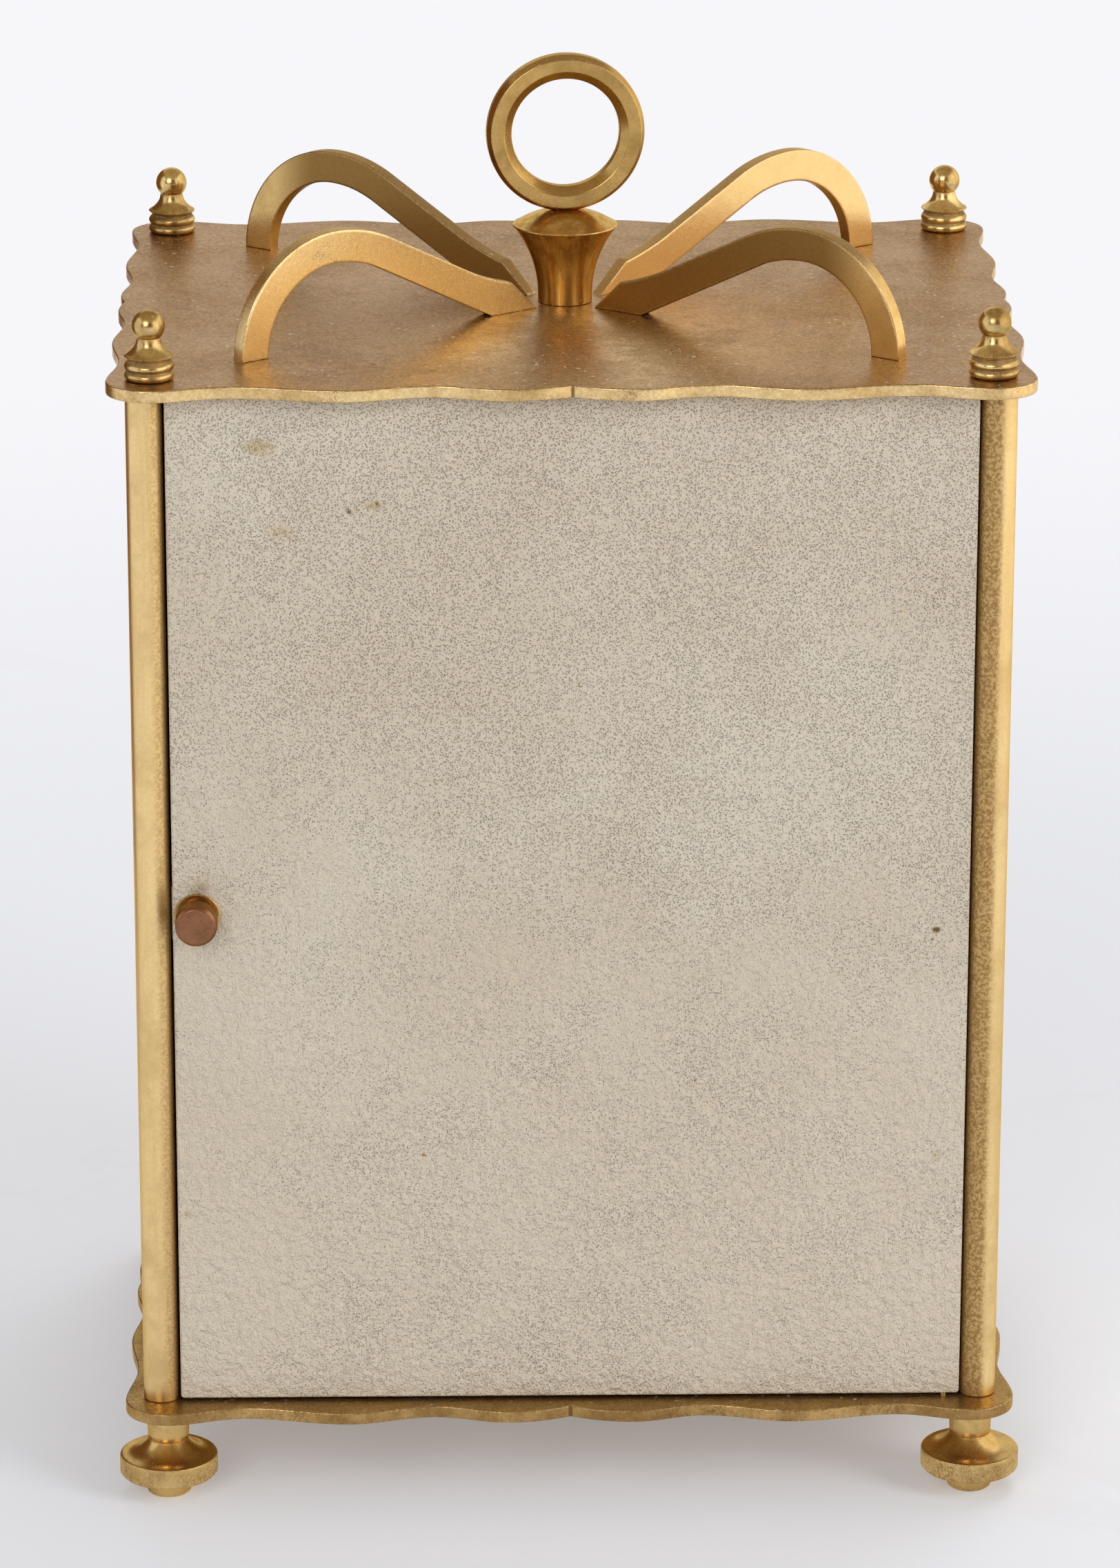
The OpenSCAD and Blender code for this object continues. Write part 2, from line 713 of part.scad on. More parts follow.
module front_movement_plate() {
  color(brass) difference() {
    slab_y(mf0, mf1) movement_outline();
    movement_screw_holes(mf0, mf1);
    pivot_holes(mf0, mf1, [hole(centre_at, arbor_r), hole(barrel_at, 2), hole(third_at, pivot_r),
      hole(fourth_at, pivot_r), hole(escape_at, pivot_r), hole(lever_at, pivot_r), hole(balance_at, pivot_r),
      hole(minute_at, minute_stud_r)]);
  }
}

module back_movement_plate() {
  color(brass) difference() {
    slab_y(mb0, mb1) movement_outline();
    movement_screw_holes(mb0, mb1);
    rod_y(balance_at, mb0 - cut, mb1 + cut, staff_hole_r);
    pivot_holes(mb0, mb1, [hole(centre_at, arbor_r), hole(barrel_at, 2.5), hole(third_at, pivot_r),
      hole(fourth_at, pivot_r), hole(escape_at, pivot_r), hole(lever_at, pivot_r)]);
    for (p = cock_screws()) rod_y(p, mb0 - cut, mb1 + cut, cock_screw_r);
    rod_y(click_at, mb0 - cut, mb1 + cut, click_pin_r);
    rod_y(click_foot_at, mb0 - cut, mb1 + cut, click_pin_r);
  }
}
minute_stud_r = 0.7;
staff_hole_r = 2.2;
cock_clear = 4;
cock_reach = balance_d / 2 + cock_clear;
cock_screw_r = 0.8;

// The lower pillars carry a post that stands on the base plate and takes a seat screw
post_d = 8;
module movement_pillars() {
  color(brass) {
    for (p = pillar_places) {
      rod_y(p, mf1, mb0, pillar_d / 2);
      rod_y(p, mf0 - nut_h - stud_end, mb1 + nut_h + stud_end, screw_d / 2);
    }
    for (s = [-1, 1]) difference() {
      translate([s * pillar_x - pillar_d / 2, seat_y - post_d / 2, base_z])
        cube([pillar_d, post_d, pillar_low - base_z]);
      translate([s * pillar_x, seat_y, base_z - cut])
        cylinder(h = screw_bite - screw_head_h + cut + seat, d = screw_d);
    }
  }
}

nut_h = 1.2;
stud_end = 0.4;
module pillar_nuts() {
  color(steel) for (p = pillar_places, y = [mf0 - nut_h, mb1]) difference() {
    translate([p.x, y + nut_h, p.y]) rotate([90, 0, 0]) cylinder(h = nut_h, d = 3.6, $fn = 6);
    rod_y(p, y - cut, y + nut_h + cut, screw_d / 2);
  }
}

great_t = 2;
drum_len = 14;
great_y = mf1 + 1.2;
drum_y = great_y + great_t;
drum_end = drum_y + drum_len;
drum_wall = 1.2;
barrel_arbor_r = 2.5;

module barrel() {
  r = barrel_d / 2;
  color(brass) difference() {
    union() {
      slab_y(great_y, drum_y) translate(barrel_at) wheel_teeth(great[0], great[1], 90);
      rod_y(barrel_at, drum_y - 0.5, drum_end, r);
    }
    rod_y(barrel_at, drum_y, drum_end - drum_wall, r - drum_wall);
    rod_y(barrel_at, great_y - cut, drum_end + cut, barrel_arbor_r + fit);
  }
}

// The spring lies in even turns, from the arbor out to the drum's wall
spring_t = 0.5;
spring_turns = 9;
hub_r = 3.9;
module mainspring() {
  color(blued) slab_y(drum_y + 0.6, drum_end - drum_wall - 0.6) translate(barrel_at)
    spiral_strip(hub_r + 0.3, barrel_d / 2 - drum_wall - spring_t - 0.3, spring_turns, 0, spring_t);
}

ratchet_y = mb1 + 0.5;
ratchet_t = 1.4;
key_y = ratchet_y + ratchet_t + 2;
arbor_end = key_y + 12;

module winding_arbor() {
  color(steel) {
    rod_y(barrel_at, mf0, great_y - 0.3, 2);
    rod_y(barrel_at, great_y - 0.4, ratchet_y, barrel_arbor_r);
    rod_y(barrel_at, drum_y + 0.3, drum_end - drum_wall - 0.3, hub_r);
    translate([barrel_at.x - square_w / 2, ratchet_y - 0.5, barrel_at.y - square_w / 2])
      cube([square_w, arbor_end - ratchet_y, square_w]);
  }
}

tooth_depth = 1.3;
module ratchet_wheel() {
  r = ratchet_d / 2;
  pitch = 360 / ratchet_teeth;
  undercut = 1.5;
  color(steel) difference() {
    slab_y(ratchet_y, ratchet_y + ratchet_t) translate(barrel_at)
      polygon([for (i = [0:ratchet_teeth - 1], k = [0:1])
        (r - k * tooth_depth) * [cos(i * pitch + k * undercut), sin(i * pitch + k * undercut)]]);
    square_hole(ratchet_y, ratchet_y + ratchet_t);
  }
}
module square_hole(y0, y1) {
  w = square_w + 2 * fit;
  translate([barrel_at.x - w / 2, y0 - cut, barrel_at.y - w / 2]) cube([w, y1 - y0 + 2 * cut, w]);
}

// The click's nose rests against the steep face of the ratchet tooth at 150 degrees.
// Its outline runs from the nose's tip: [along the ratchet's edge, away from its axis].
click_turn = 152.5;
click_tip = step(barrel_at, ratchet_d / 2 - tooth_depth + 0.2, click_turn);
function from_click(along, out) = step(step(click_tip, along, click_turn + 90), out, click_turn);
click_pin_r = 0.8;
click_boss_r = 2.2;
click_at = from_click(9, 1);
click_foot_at = from_click(10.5, 11);
module click() {
  color(steel) difference() {
    union() {
      rod_y(click_at, ratchet_y, ratchet_y + ratchet_t, click_boss_r);
      slab_y(ratchet_y, ratchet_y + ratchet_t) polygon([
        from_click(0, 0), from_click(0.9, 1.5), from_click(3.5, 1.4), from_click(7.7, -0.4),
        from_click(8, 2.8), from_click(3, 3.4), from_click(-0.1, 2.6)]);
    }
    rod_y(click_at, ratchet_y - cut, ratchet_y + ratchet_t + cut, click_pin_r + fit);
  }
}

// The click's pin, and a leaf on its own post that presses beside the click's pin
module click_spring() {
  color(blued) {
    rod_y(click_foot_at, mb0, ratchet_y + ratchet_t, click_pin_r);
    slab_y(ratchet_y, ratchet_y + ratchet_t) union() {
      translate(click_foot_at) circle(r = 1.8);
      bar(click_foot_at, from_click(7, 3.9), 0.2);
    }
    rod_y(click_at, mb0, ratchet_y + ratchet_t + 0.2, click_pin_r);
    rod_y(click_at, ratchet_y + ratchet_t + 0.1, ratchet_y + ratchet_t + 0.7, 1.5);
  }
}

key_len = 14;
key_wing_r = 5.5;
key_wing_t = 1.6;
module winding_key() {
  color(brass) difference() {
    union() {
      rod_y(barrel_at, key_y, key_y + key_len, 3.4);
      translate([barrel_at.x, key_y + key_len + key_wing_r - 2, barrel_at.y]) key_wings();
    }
    square_hole(key_y, arbor_end + 0.2 - cut);
  }
}

// Two round wings side by side, each with a hole, in a plane along the arbor
module key_wings() {
  rotate([0, 90, 0]) linear_extrude(key_wing_t, center = true) difference() {
    for (s = [-1, 1]) translate([s * 6.5, 0]) circle(r = key_wing_r + 1.2);
    for (s = [-1, 1]) translate([s * 7.5, 0]) circle(r = key_wing_r / 2.5);
  }
}

// Arbor levels between the movement plates
pinion_front = mf1 + 0.8;
wheel_back = mb0 - 6.5;

module centre_wheel() {
  color(brass) difference() {
    union() {
      slab_y(wheel_back, wheel_back + 1.5) translate(centre_at)
        spoked_wheel(centre[0], centre[1], third_turn, 4, 5);
      slab_y(pinion_front, drum_y + 0.4) translate(centre_at)
        pinion_teeth(great[0], great[2], 90 + 360 / great[2] / 2 + 180);
      rod_y(centre_at, pinion_front, wheel_back + 1.5, 2);
    }
    rod_y(centre_at, pinion_front - cut, wheel_back + 1.5 + cut, arbor_r + fit);
  }
}

module plain_arbor(at) {
  rod_y(at, mf0 + 0.2, mb1 - 0.2, pivot_r);
  rod_y(at, mf1 + 0.3, mb0 - 0.3, arbor_r);
}

third_y = mf1 + 6;
module third_wheel() {
  color(brass) {
    plain_arbor(third_at);
    slab_y(wheel_back - 0.6, wheel_back + 2.1) translate(third_at)
      pinion_teeth(centre[0], centre[2], third_turn + 180 + 180 / centre[2]);
    slab_y(third_y, third_y + 1.2) translate(third_at)
      spoked_wheel(third[0], third[1], fourth_turn, 3, 5);
  }
}

fourth_y = mf1 + 14;
module fourth_wheel() {
  color(brass) {
    plain_arbor(fourth_at);
    slab_y(third_y - 0.6, third_y + 1.8) translate(fourth_at)
      pinion_teeth(third[0], third[2], fourth_turn + 180 + 180 / third[2]);
    slab_y(fourth_y, fourth_y + 1) translate(fourth_at)
      spoked_wheel(fourth[0], fourth[1], escape_turn, 2.4, 5);
  }
}

escape_y = fourth_y + 2;
module escape_wheel() {
  pitch = 360 / escape_teeth;
  color(brass) {
    plain_arbor(escape_at);
    slab_y(fourth_y - 0.6, fourth_y + 1.6) translate(escape_at)
      pinion_teeth(fourth[0], fourth[2], escape_turn + 180 + 180 / fourth[2]);
    slab_y(escape_y, escape_y + 0.6) translate(escape_at) difference() {
      polygon([for (i = [0:escape_teeth - 1], k = [0:2])
        [escape_r, escape_r - 0.1, escape_r - 1.4][k] * [cos(i * pitch + [0, 3, 8][k]), sin(i * pitch + [0, 3, 8][k])]]);
      difference() {
        circle(r = escape_r - 2.2);
        circle(r = 1.8);
        for (a = [0, 120, 240]) rotate(a) translate([0, -0.4]) square([escape_r - 2, 0.8]);
      }
    }
  }
}

// The lever straddles the escape wheel with its two pallets and ends in a fork
module pallet_lever() {
  span = 50;
  pallet_r = escape_r + 0.5;
  to_escape = lever_turn + 180;
  color(steel) {
    plain_arbor(lever_at);
    slab_y(escape_y - 0.1, escape_y + 0.7) {
      difference() {
        union() {
          translate(lever_at) circle(r = 1.7);
          for (s = [-1, 1]) bar(lever_at, pallet_place(s, span, pallet_r + 1), 0.7);
          bar(lever_at, step(lever_at, fork_reach - 2.2, balance_turn), 0.6);
          translate(step(lever_at, fork_reach - 2.2, balance_turn)) circle(r = 1);
        }
        translate(step(lever_at, fork_reach - 1.4, balance_turn)) circle(r = 0.7);
        translate(escape_at) circle(r = pallet_r);
      }
    }
  }
}
function pallet_place(s, span, r) = step(escape_at, r, lever_turn + s * span);
// A straight bar of half width h between two points
module bar(a, b, h) {
  d = b - a;
  n = [-d.y, d.x] / norm(d) * h;
  polygon([a + n, a - n, b - n, b + n]);
}

balance_rise = 1.2;
hair_rise = 4;
cock_rise = 6.2;
balance_y = mb1 + balance_rise;
hair_y = mb1 + hair_rise;
cock_y = mb1 + cock_rise;
boss_h = 0.8;
module balance_wheel() {
  r = balance_d / 2;
  color(brass) {
    rod_y(balance_at, mf0 + 0.2, cock_y + 0.5, pivot_r);
    rod_y(balance_at, mf1 + 0.3, cock_y - boss_h - 0.2, staff_r);
    rod_y(balance_at, escape_y + 1, escape_y + 1.6, 1.8);
    slab_y(balance_y, balance_y + balance_t) translate(balance_at) {
      difference() {
        circle(r = r);
        circle(r = r - balance_rim);
      }
      circle(r = 2 * staff_r);
      for (a = [20, 140, 260]) rotate(a) translate([0, -balance_arm / 2]) square([r - balance_rim / 2, balance_arm]);
    }
  }
}

// A flat spiral of even turns that starts and ends at the angle first
function spiral(r0, r1, turns, first) =
  [for (i = [0:24 * turns]) let (t = i / (24 * turns), a = first + 360 * turns * t)
    (r0 + (r1 - r0) * t) * [cos(a), sin(a)]];
module spiral_strip(r0, r1, turns, first, t) {
  polygon(concat(spiral(r0, r1, turns, first), reversed(spiral(r0 + t, r1 + t, turns, first))));
}

staff_r = 0.9;
balance_t = 1.6;
balance_rim = 1.5;
balance_arm = 1.2;
hair_t = 0.15;
hair_r = 5.6;
hair_turns = 7;
cock_turn = 200;
module hairspring() {
  color(blued) difference() {
    union() {
      slab_y(hair_y, hair_y + 0.5) translate(balance_at)
        spiral_strip(staff_r + hair_t, hair_r, hair_turns, cock_turn, hair_t);
      rod_y(balance_at, hair_y - 0.2, hair_y + 0.6, staff_r + 3 * hair_t);
    }
    rod_y(balance_at, hair_y - cut, hair_y + cut, staff_r);
  }
}

cock_t = 1.6;
cock_foot_w = 4.4;
cock_foot_len = 11.2;
function cock_screws() = [for (a = [-14, 14]) step(balance_at, cock_reach, cock_turn + a)];
module balance_cock() {
  t = cock_t;
  foot_w = cock_foot_w;
  foot_len = cock_foot_len;
  color(brass) difference() {
    union() {
      slab_y(cock_y, cock_y + t) {
        translate(balance_at) circle(r = 3);
        bar(balance_at, step(balance_at, cock_reach + foot_w / 2, cock_turn), 2.6);
      }
      rod_y(balance_at, cock_y - boss_h, cock_y + 0.1, cock_boss_r);
      slab_y(mb1, cock_y + t) translate(step(balance_at, cock_reach, cock_turn)) rotate(cock_turn)
        translate([-foot_w / 2, -foot_len / 2]) square([foot_w, foot_len]);
    }
    rod_y(balance_at, cock_y - boss_h - cut, cock_y + 0.8, pivot_r + fit);
    for (p = cock_screws()) rod_y(p, mb1 - cut, cock_y + t + cut, cock_screw_r);
  }
  color(steel) {
    for (p = cock_screws()) {
      rod_y(p, mb0, cock_y + t + 0.2, cock_screw_r);
      rod_y(p, cock_y + t, cock_y + t + 0.8, 1.4);
    }
    rod_y(step(balance_at, hair_r + hair_t + 0.6, cock_turn), hair_y - 0.2, cock_y + 0.2, 0.4);
  }
}

cock_boss_r = 1.6;
regulator_t = 0.5;
module regulator() {
  y1 = cock_y - 0.15;
  color(steel) difference() {
    slab_y(y1 - regulator_t, y1) {
      translate(balance_at) circle(r = 2.8);
      bar(balance_at, step(balance_at, 9.5, 80), 0.5);
    }
    rod_y(balance_at, y1 - regulator_t - cut, y1 + cut, cock_boss_r + fit);
  }
}

set_knob_y = mb1 + 1;
module centre_arbor() {
  color(steel) {
    rod_y(centre_at, nut_y + 0.6, set_knob_y + 7, arbor_r);
    rod_y(centre_at, mb0 - 1.2, mb0 - 0.3, 2);
  }
}

module set_knob() {
  color(brass) difference() {
    union() {
      rod_y(centre_at, set_knob_y, set_knob_y + 3, 3);
      slab_y(set_knob_y + 3, set_knob_y + 9) translate(centre_at) difference() {
        circle(r = 7);
        for (i = [0:23]) rotate(15 * i) translate([7.1, 0]) circle(r = 0.5);
      }
    }
    rod_y(centre_at, set_knob_y - cut, set_knob_y + 7, arbor_r);
  }
}

cannon_y = mf0 - 2.8;
cannon_t = 1.8;
module cannon_pinion() {
  color(steel) difference() {
    union() {
      rod_y(centre_at, nut_y - 0.7, mf0 - 0.3, pipe_r);
      slab_y(cannon_y, cannon_y + cannon_t) translate(centre_at)
        pinion_teeth(minute_pair[0], minute_pair[2], minute_turn + 180 / minute_pair[2]);
    }
    rod_y(centre_at, nut_y + 0.5, mf0, arbor_r);
  }
}

hour_gear_y = cannon_y - 2.2;
hour_gear_t = 1.2;
module minute_wheel() {
  color(brass) {
    rod_y(minute_at, mf0 - 0.2, mf1 - 0.4, minute_stud_r);
    slab_y(cannon_y + 0.1, cannon_y + cannon_t - 0.1) translate(minute_at)
      spoked_wheel(minute_pair[0], minute_pair[1], minute_turn + 180, 3, 4);
    slab_y(hour_gear_y - 0.3, cannon_y + 0.2) translate(minute_at)
      pinion_teeth(hour_pair[0], hour_pair[2], minute_turn + 180 + 180 / hour_pair[2]);
    rod_y(minute_at, cannon_y, mf0 - 0.2, 1.6);
  }
}

module hour_wheel() {
  color(brass) difference() {
    union() {
      slab_y(hour_gear_y, hour_gear_y + hour_gear_t) translate(centre_at)
        wheel_teeth(hour_pair[0], hour_pair[1], minute_turn);
      rod_y(centre_at, hour_y - hand_t - 0.1, hour_gear_y + 0.2, hour_pipe_r);
    }
    rod_y(centre_at, hour_y - hand_t - cut, hour_gear_y + hour_gear_t + cut, pipe_r + fit);
  }
}

// ---------- nodes ----------

base_plate();
top_plate();
for (i = [0:3]) {
  column(corner_signs[i]);
  finial(corner_signs[i]);
  foot(corner_signs[i]);
  strap(corner_signs[i]);
}
crown_pedestal();
handle_ring();
crown_screw();
case_screws();
back_door();
door_pivots();
door_knob();
knob_washer();
knob_nut();
door_catch();
front_panel();
side_panel(-1);  // left_panel
side_panel(1);  // right_panel
hour_markers();
hour_hand();
minute_hand();
hand_nut();
front_movement_plate();
back_movement_plate();
movement_pillars();
pillar_nuts();
barrel();
mainspring();
winding_arbor();
ratchet_wheel();
click();
click_spring();
winding_key();
centre_wheel();
third_wheel();
fourth_wheel();
escape_wheel();
pallet_lever();
balance_wheel();
hairspring();
balance_cock();
regulator();
centre_arbor();
set_knob();
cannon_pinion();
minute_wheel();
hour_wheel();
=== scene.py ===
import math
import bpy
import bmesh
from mathutils import Matrix, Quaternion, Vector


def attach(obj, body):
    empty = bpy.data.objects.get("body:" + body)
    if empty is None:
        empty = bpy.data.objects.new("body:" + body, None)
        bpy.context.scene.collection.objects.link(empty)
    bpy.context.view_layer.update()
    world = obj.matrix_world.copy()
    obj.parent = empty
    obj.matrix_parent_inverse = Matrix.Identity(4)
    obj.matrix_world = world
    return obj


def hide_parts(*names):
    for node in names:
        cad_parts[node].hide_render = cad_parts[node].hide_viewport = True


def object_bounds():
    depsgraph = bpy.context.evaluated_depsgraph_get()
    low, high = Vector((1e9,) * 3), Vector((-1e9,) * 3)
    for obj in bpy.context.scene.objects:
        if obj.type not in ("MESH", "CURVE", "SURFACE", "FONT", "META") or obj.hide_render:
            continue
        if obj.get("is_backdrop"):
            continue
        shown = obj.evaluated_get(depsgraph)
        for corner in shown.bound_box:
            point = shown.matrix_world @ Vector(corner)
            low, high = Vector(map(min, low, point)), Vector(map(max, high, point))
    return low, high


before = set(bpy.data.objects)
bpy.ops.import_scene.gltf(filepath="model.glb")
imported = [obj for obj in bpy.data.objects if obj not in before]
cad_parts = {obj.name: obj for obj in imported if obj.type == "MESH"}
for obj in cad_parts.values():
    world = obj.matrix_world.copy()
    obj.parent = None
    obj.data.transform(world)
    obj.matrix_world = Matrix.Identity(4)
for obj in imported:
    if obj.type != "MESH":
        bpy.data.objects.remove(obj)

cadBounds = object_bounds()
mm = 0.001  # the dictionaries of shapes are in mm, and Blender is in metres
corners = {"front_left": (-1, -1), "front_right": (1, -1), "back_left": (-1, 1), "back_right": (1, 1)}
print("frame loaded:", len(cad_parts), "nodes")


# camera, fitted to the photograph

camera = {
    "place": (0.0240, 1.05963, 0.4505),
    "aim": (0.00097, 0.0132, 0.1121),
    "roll": 0.0017,
    "lens": 149.217, "sensor": 36,  # up the long side
    "near": 0.05, "far": 30,
}


def makeCamera(c):
    data = bpy.data.cameras.new("photoCamera")
    data.sensor_fit = "VERTICAL"
    data.sensor_height = c["sensor"]
    data.lens = c["lens"]
    data.clip_start, data.clip_end = c["near"], c["far"]
    cam = bpy.data.objects.new("photoCamera", data)
    bpy.context.scene.collection.objects.link(cam)
    turn = (Vector(c["aim"]) - Vector(c["place"])).to_track_quat("-Z", "Y")
    turn = turn @ Quaternion((0, 0, 1), c["roll"])
    cam.matrix_world = Matrix.Translation(c["place"]) @ turn.to_matrix().to_4x4()
    bpy.context.scene.camera = cam


makeCamera(camera)
bpy.context.scene.view_settings.view_transform = "Standard"
print("camera placed")


# shader helpers

def add(tree, kind, **values):
    n = tree.nodes.new(kind)
    row, column = divmod(len(tree.nodes), 12)
    n.location = (260 * column, -340 * row)
    for key, value in values.items():
        setattr(n, key, value)
    return n


def put(tree, value, socket):
    # a number or a colour is set on the socket itself, and an output is linked to it
    if isinstance(value, (int, float)):
        socket.default_value = value
    elif isinstance(value, tuple):
        socket.default_value = value if socket.type == "VECTOR" else (*value, 1)
    else:
        tree.links.new(value, socket)


def mathNode(tree, operation, *values, clamp=False):
    n = add(tree, "ShaderNodeMath", operation=operation, use_clamp=clamp)
    for value, socket in zip(values, n.inputs):
        put(tree, value, socket)
    return n.outputs[0]


def plus(tree, a, b, clamp=False):
    return mathNode(tree, "ADD", a, b, clamp=clamp)


def minus(tree, a, b, clamp=False):
    return mathNode(tree, "SUBTRACT", a, b, clamp=clamp)


def times(tree, a, b, clamp=False):
    return mathNode(tree, "MULTIPLY", a, b, clamp=clamp)


def larger(tree, a, b):
    return mathNode(tree, "MAXIMUM", a, b)


def mixed(tree, a, b, share):
    # share of a, and the rest of b
    return plus(tree, times(tree, a, share), times(tree, b, round(1 - share, 6)))


def vectorNode(tree, operation, *values):
    n = add(tree, "ShaderNodeVectorMath", operation=operation)
    for value, socket in zip(values, n.inputs):
        put(tree, value, socket)
    return n.outputs["Value" if operation in ("LENGTH", "DOT_PRODUCT") else "Vector"]


def ramp(tree, value, low, high, toLow=0, toHigh=1):
    n = add(tree, "ShaderNodeMapRange", interpolation_type="SMOOTHSTEP", clamp=True)
    for name, v in (("Value", value), ("From Min", low), ("From Max", high), ("To Min", toLow), ("To Max", toHigh)):
        put(tree, v, n.inputs[name])
    return n.outputs[0]


def noise(tree, vector, scale, detail=2, roughness=0.5, distortion=0, output="Fac"):
    n = add(tree, "ShaderNodeTexNoise")
    for name, v in (("Vector", vector), ("Scale", scale), ("Detail", detail), ("Roughness", roughness),
                    ("Distortion", distortion)):
        put(tree, v, n.inputs[name])
    return n.outputs[output]


def cells(tree, vector, scale):
    # how far a point lies from its cell's middle, and three random numbers of that cell
    n = add(tree, "ShaderNodeTexVoronoi")
    put(tree, vector, n.inputs["Vector"])
    put(tree, scale, n.inputs["Scale"])
    drawn = add(tree, "ShaderNodeSeparateColor")
    put(tree, n.outputs["Color"], drawn.inputs[0])
    return n.outputs["Distance"], drawn.outputs


def mixColour(tree, factor, a, b, blend="MIX"):
    n = add(tree, "ShaderNodeMix", data_type="RGBA", blend_type=blend)
    for value, k in ((factor, 0), (a, 6), (b, 7)):  # the colour sockets of a node that also mixes numbers
        put(tree, value, n.inputs[k])
    return n.outputs[2]


def objectPlace(tree):
    return add(tree, "ShaderNodeTexCoord").outputs["Object"]


def faceNormal(tree):
    return add(tree, "ShaderNodeNewGeometry").outputs["Normal"]


def split(tree, vector):
    n = add(tree, "ShaderNodeSeparateXYZ")
    put(tree, vector, n.inputs[0])
    return n.outputs


def flatness(tree, radius):
    # 1 on a flat face, and less the more an edge within the radius turns away
    bevel = add(tree, "ShaderNodeBevel", samples=4)
    put(tree, radius, bevel.inputs["Radius"])
    return vectorNode(tree, "DOT_PRODUCT", bevel.outputs[0], faceNormal(tree))


def group(name, inputs, outputs):
    g = bpy.data.node_groups.new(name, "ShaderNodeTree")
    for label, default in inputs.items():
        g.interface.new_socket(label, in_out="INPUT", socket_type="NodeSocketFloat").default_value = default
    for label in outputs:
        g.interface.new_socket(label, in_out="OUTPUT", socket_type="NodeSocketFloat")
    return g, add(g, "NodeGroupInput").outputs, add(g, "NodeGroupOutput").inputs


def use(tree, g, values):
    n = add(tree, "ShaderNodeGroup", node_tree=g)
    for label, value in values.items():
        n.inputs[label].default_value = value
    return n.outputs


def newMaterial(name):
    m = bpy.data.materials.new(name)
    m.use_nodes = True
    m.node_tree.nodes.clear()
    return m, m.node_tree, add(m.node_tree, "ShaderNodeOutputMaterial").inputs["Surface"]


def newFinish(name):
    m, t, surface = newMaterial(name)
    bsdf = add(t, "ShaderNodeBsdfPrincipled")
    put(t, bsdf.outputs[0], surface)
    return m, t, bsdf.inputs


def bump(tree, height, strength, depth, normal):
    n = add(tree, "ShaderNodeBump")
    for name, v in (("Strength", strength), ("Distance", depth), ("Height", height)):
        put(tree, v, n.inputs[name])
    put(tree, n.outputs[0], normal)


def seenDirectly(tree):
    # 1 for the camera and for what gloss and glass show of the background
    rays = add(tree, "ShaderNodeLightPath").outputs
    return larger(tree, larger(tree, rays["Is Camera Ray"], rays["Is Glossy Ray"]), rays["Is Transmission Ray"])


# effects that several finishes share; each scale is how many waves or cells go into a metre

tarnishScales = {"clouds": 48, "fineClouds": 300, "mottle": 1900, "patches": 150, "broadPatches": 36}
satinScales = {"peel": 900, "grain": 3200, "streaks": 700}
dustScales = {"film": 60, "areas": 45, "speck": 900, "fineSpeck": 1900}


def makeTarnish(s):
    # cloudy tarnish, fine mottling, worm-like specks in patches, and the edges, which the finishes brighten as wear and
    # painted highlight
    g, given, made = group(
        "tarnish", {"Clouds": 0.5, "Specks": 0.5, "Speck Scale": 1500, "Shift": 0, "Edge Width": 0.0009},
        ("Clouds", "Mottle", "Specks", "Edges"))
    v = vectorNode(g, "ADD", objectPlace(g), given["Shift"])
    cloud = mixed(g, noise(g, v, s["clouds"], 4, 0.6, 0.4), noise(g, v, s["fineClouds"], 3, 0.65), 0.7)
    put(g, times(g, ramp(g, cloud, 0.38, 0.64), given["Clouds"]), made["Clouds"])
    put(g, ramp(g, noise(g, v, s["mottle"], 3, 0.75), 0.35, 0.65), made["Mottle"])
    worm = noise(g, v, given["Speck Scale"], 2.5, 0.5, 0.5)
    line = ramp(g, mathNode(g, "ABSOLUTE", minus(g, worm, 0.5)), 0.01, 0.07, 1, 0)
    patch = mixed(g, noise(g, v, s["patches"], 4, 0.65), noise(g, v, s["broadPatches"]), 0.6)
    bend = flatness(g, given["Edge Width"])
    nearEdge = ramp(g, bend, 0.88, 1, 1, 0)
    least = minus(g, 0.72, times(g, given["Specks"], plus(g, 0.22, times(g, nearEdge, 0.18))))
    patch = ramp(g, patch, least, plus(g, least, 0.16))
    put(g, times(g, line, patch), made["Specks"])
    put(g, ramp(g, bend, 0.72, 0.90, 1, 0), made["Edges"])
    return g


def makeSatin(s):
    # the fine orange-peel of lacquered, brushed brass; Stretch below 1 draws it out along the height
    g, given, made = group("satin", {"Grain": 0.5, "Peel": 0.5, "Stretch": 1}, ("Height", "Roughness", "Streaks"))
    place = objectPlace(g)
    stretch = add(g, "ShaderNodeCombineXYZ")
    for value, socket in zip((1, 1, given["Stretch"]), stretch.inputs):
        put(g, value, socket)
    drawn = vectorNode(g, "MULTIPLY", place, stretch.outputs[0])
    grain = noise(g, drawn, s["grain"], 2, 0.6)
    peel = noise(g, place, s["peel"])
    put(g, plus(g, times(g, peel, given["Peel"]), times(g, grain, given["Grain"])), made["Height"])
    put(g, times(g, minus(g, grain, 0.5), 0.25), made["Roughness"])
    put(g, ramp(g, noise(g, drawn, s["streaks"], 3, 0.6), 0.35, 0.65), made["Streaks"])
    return g


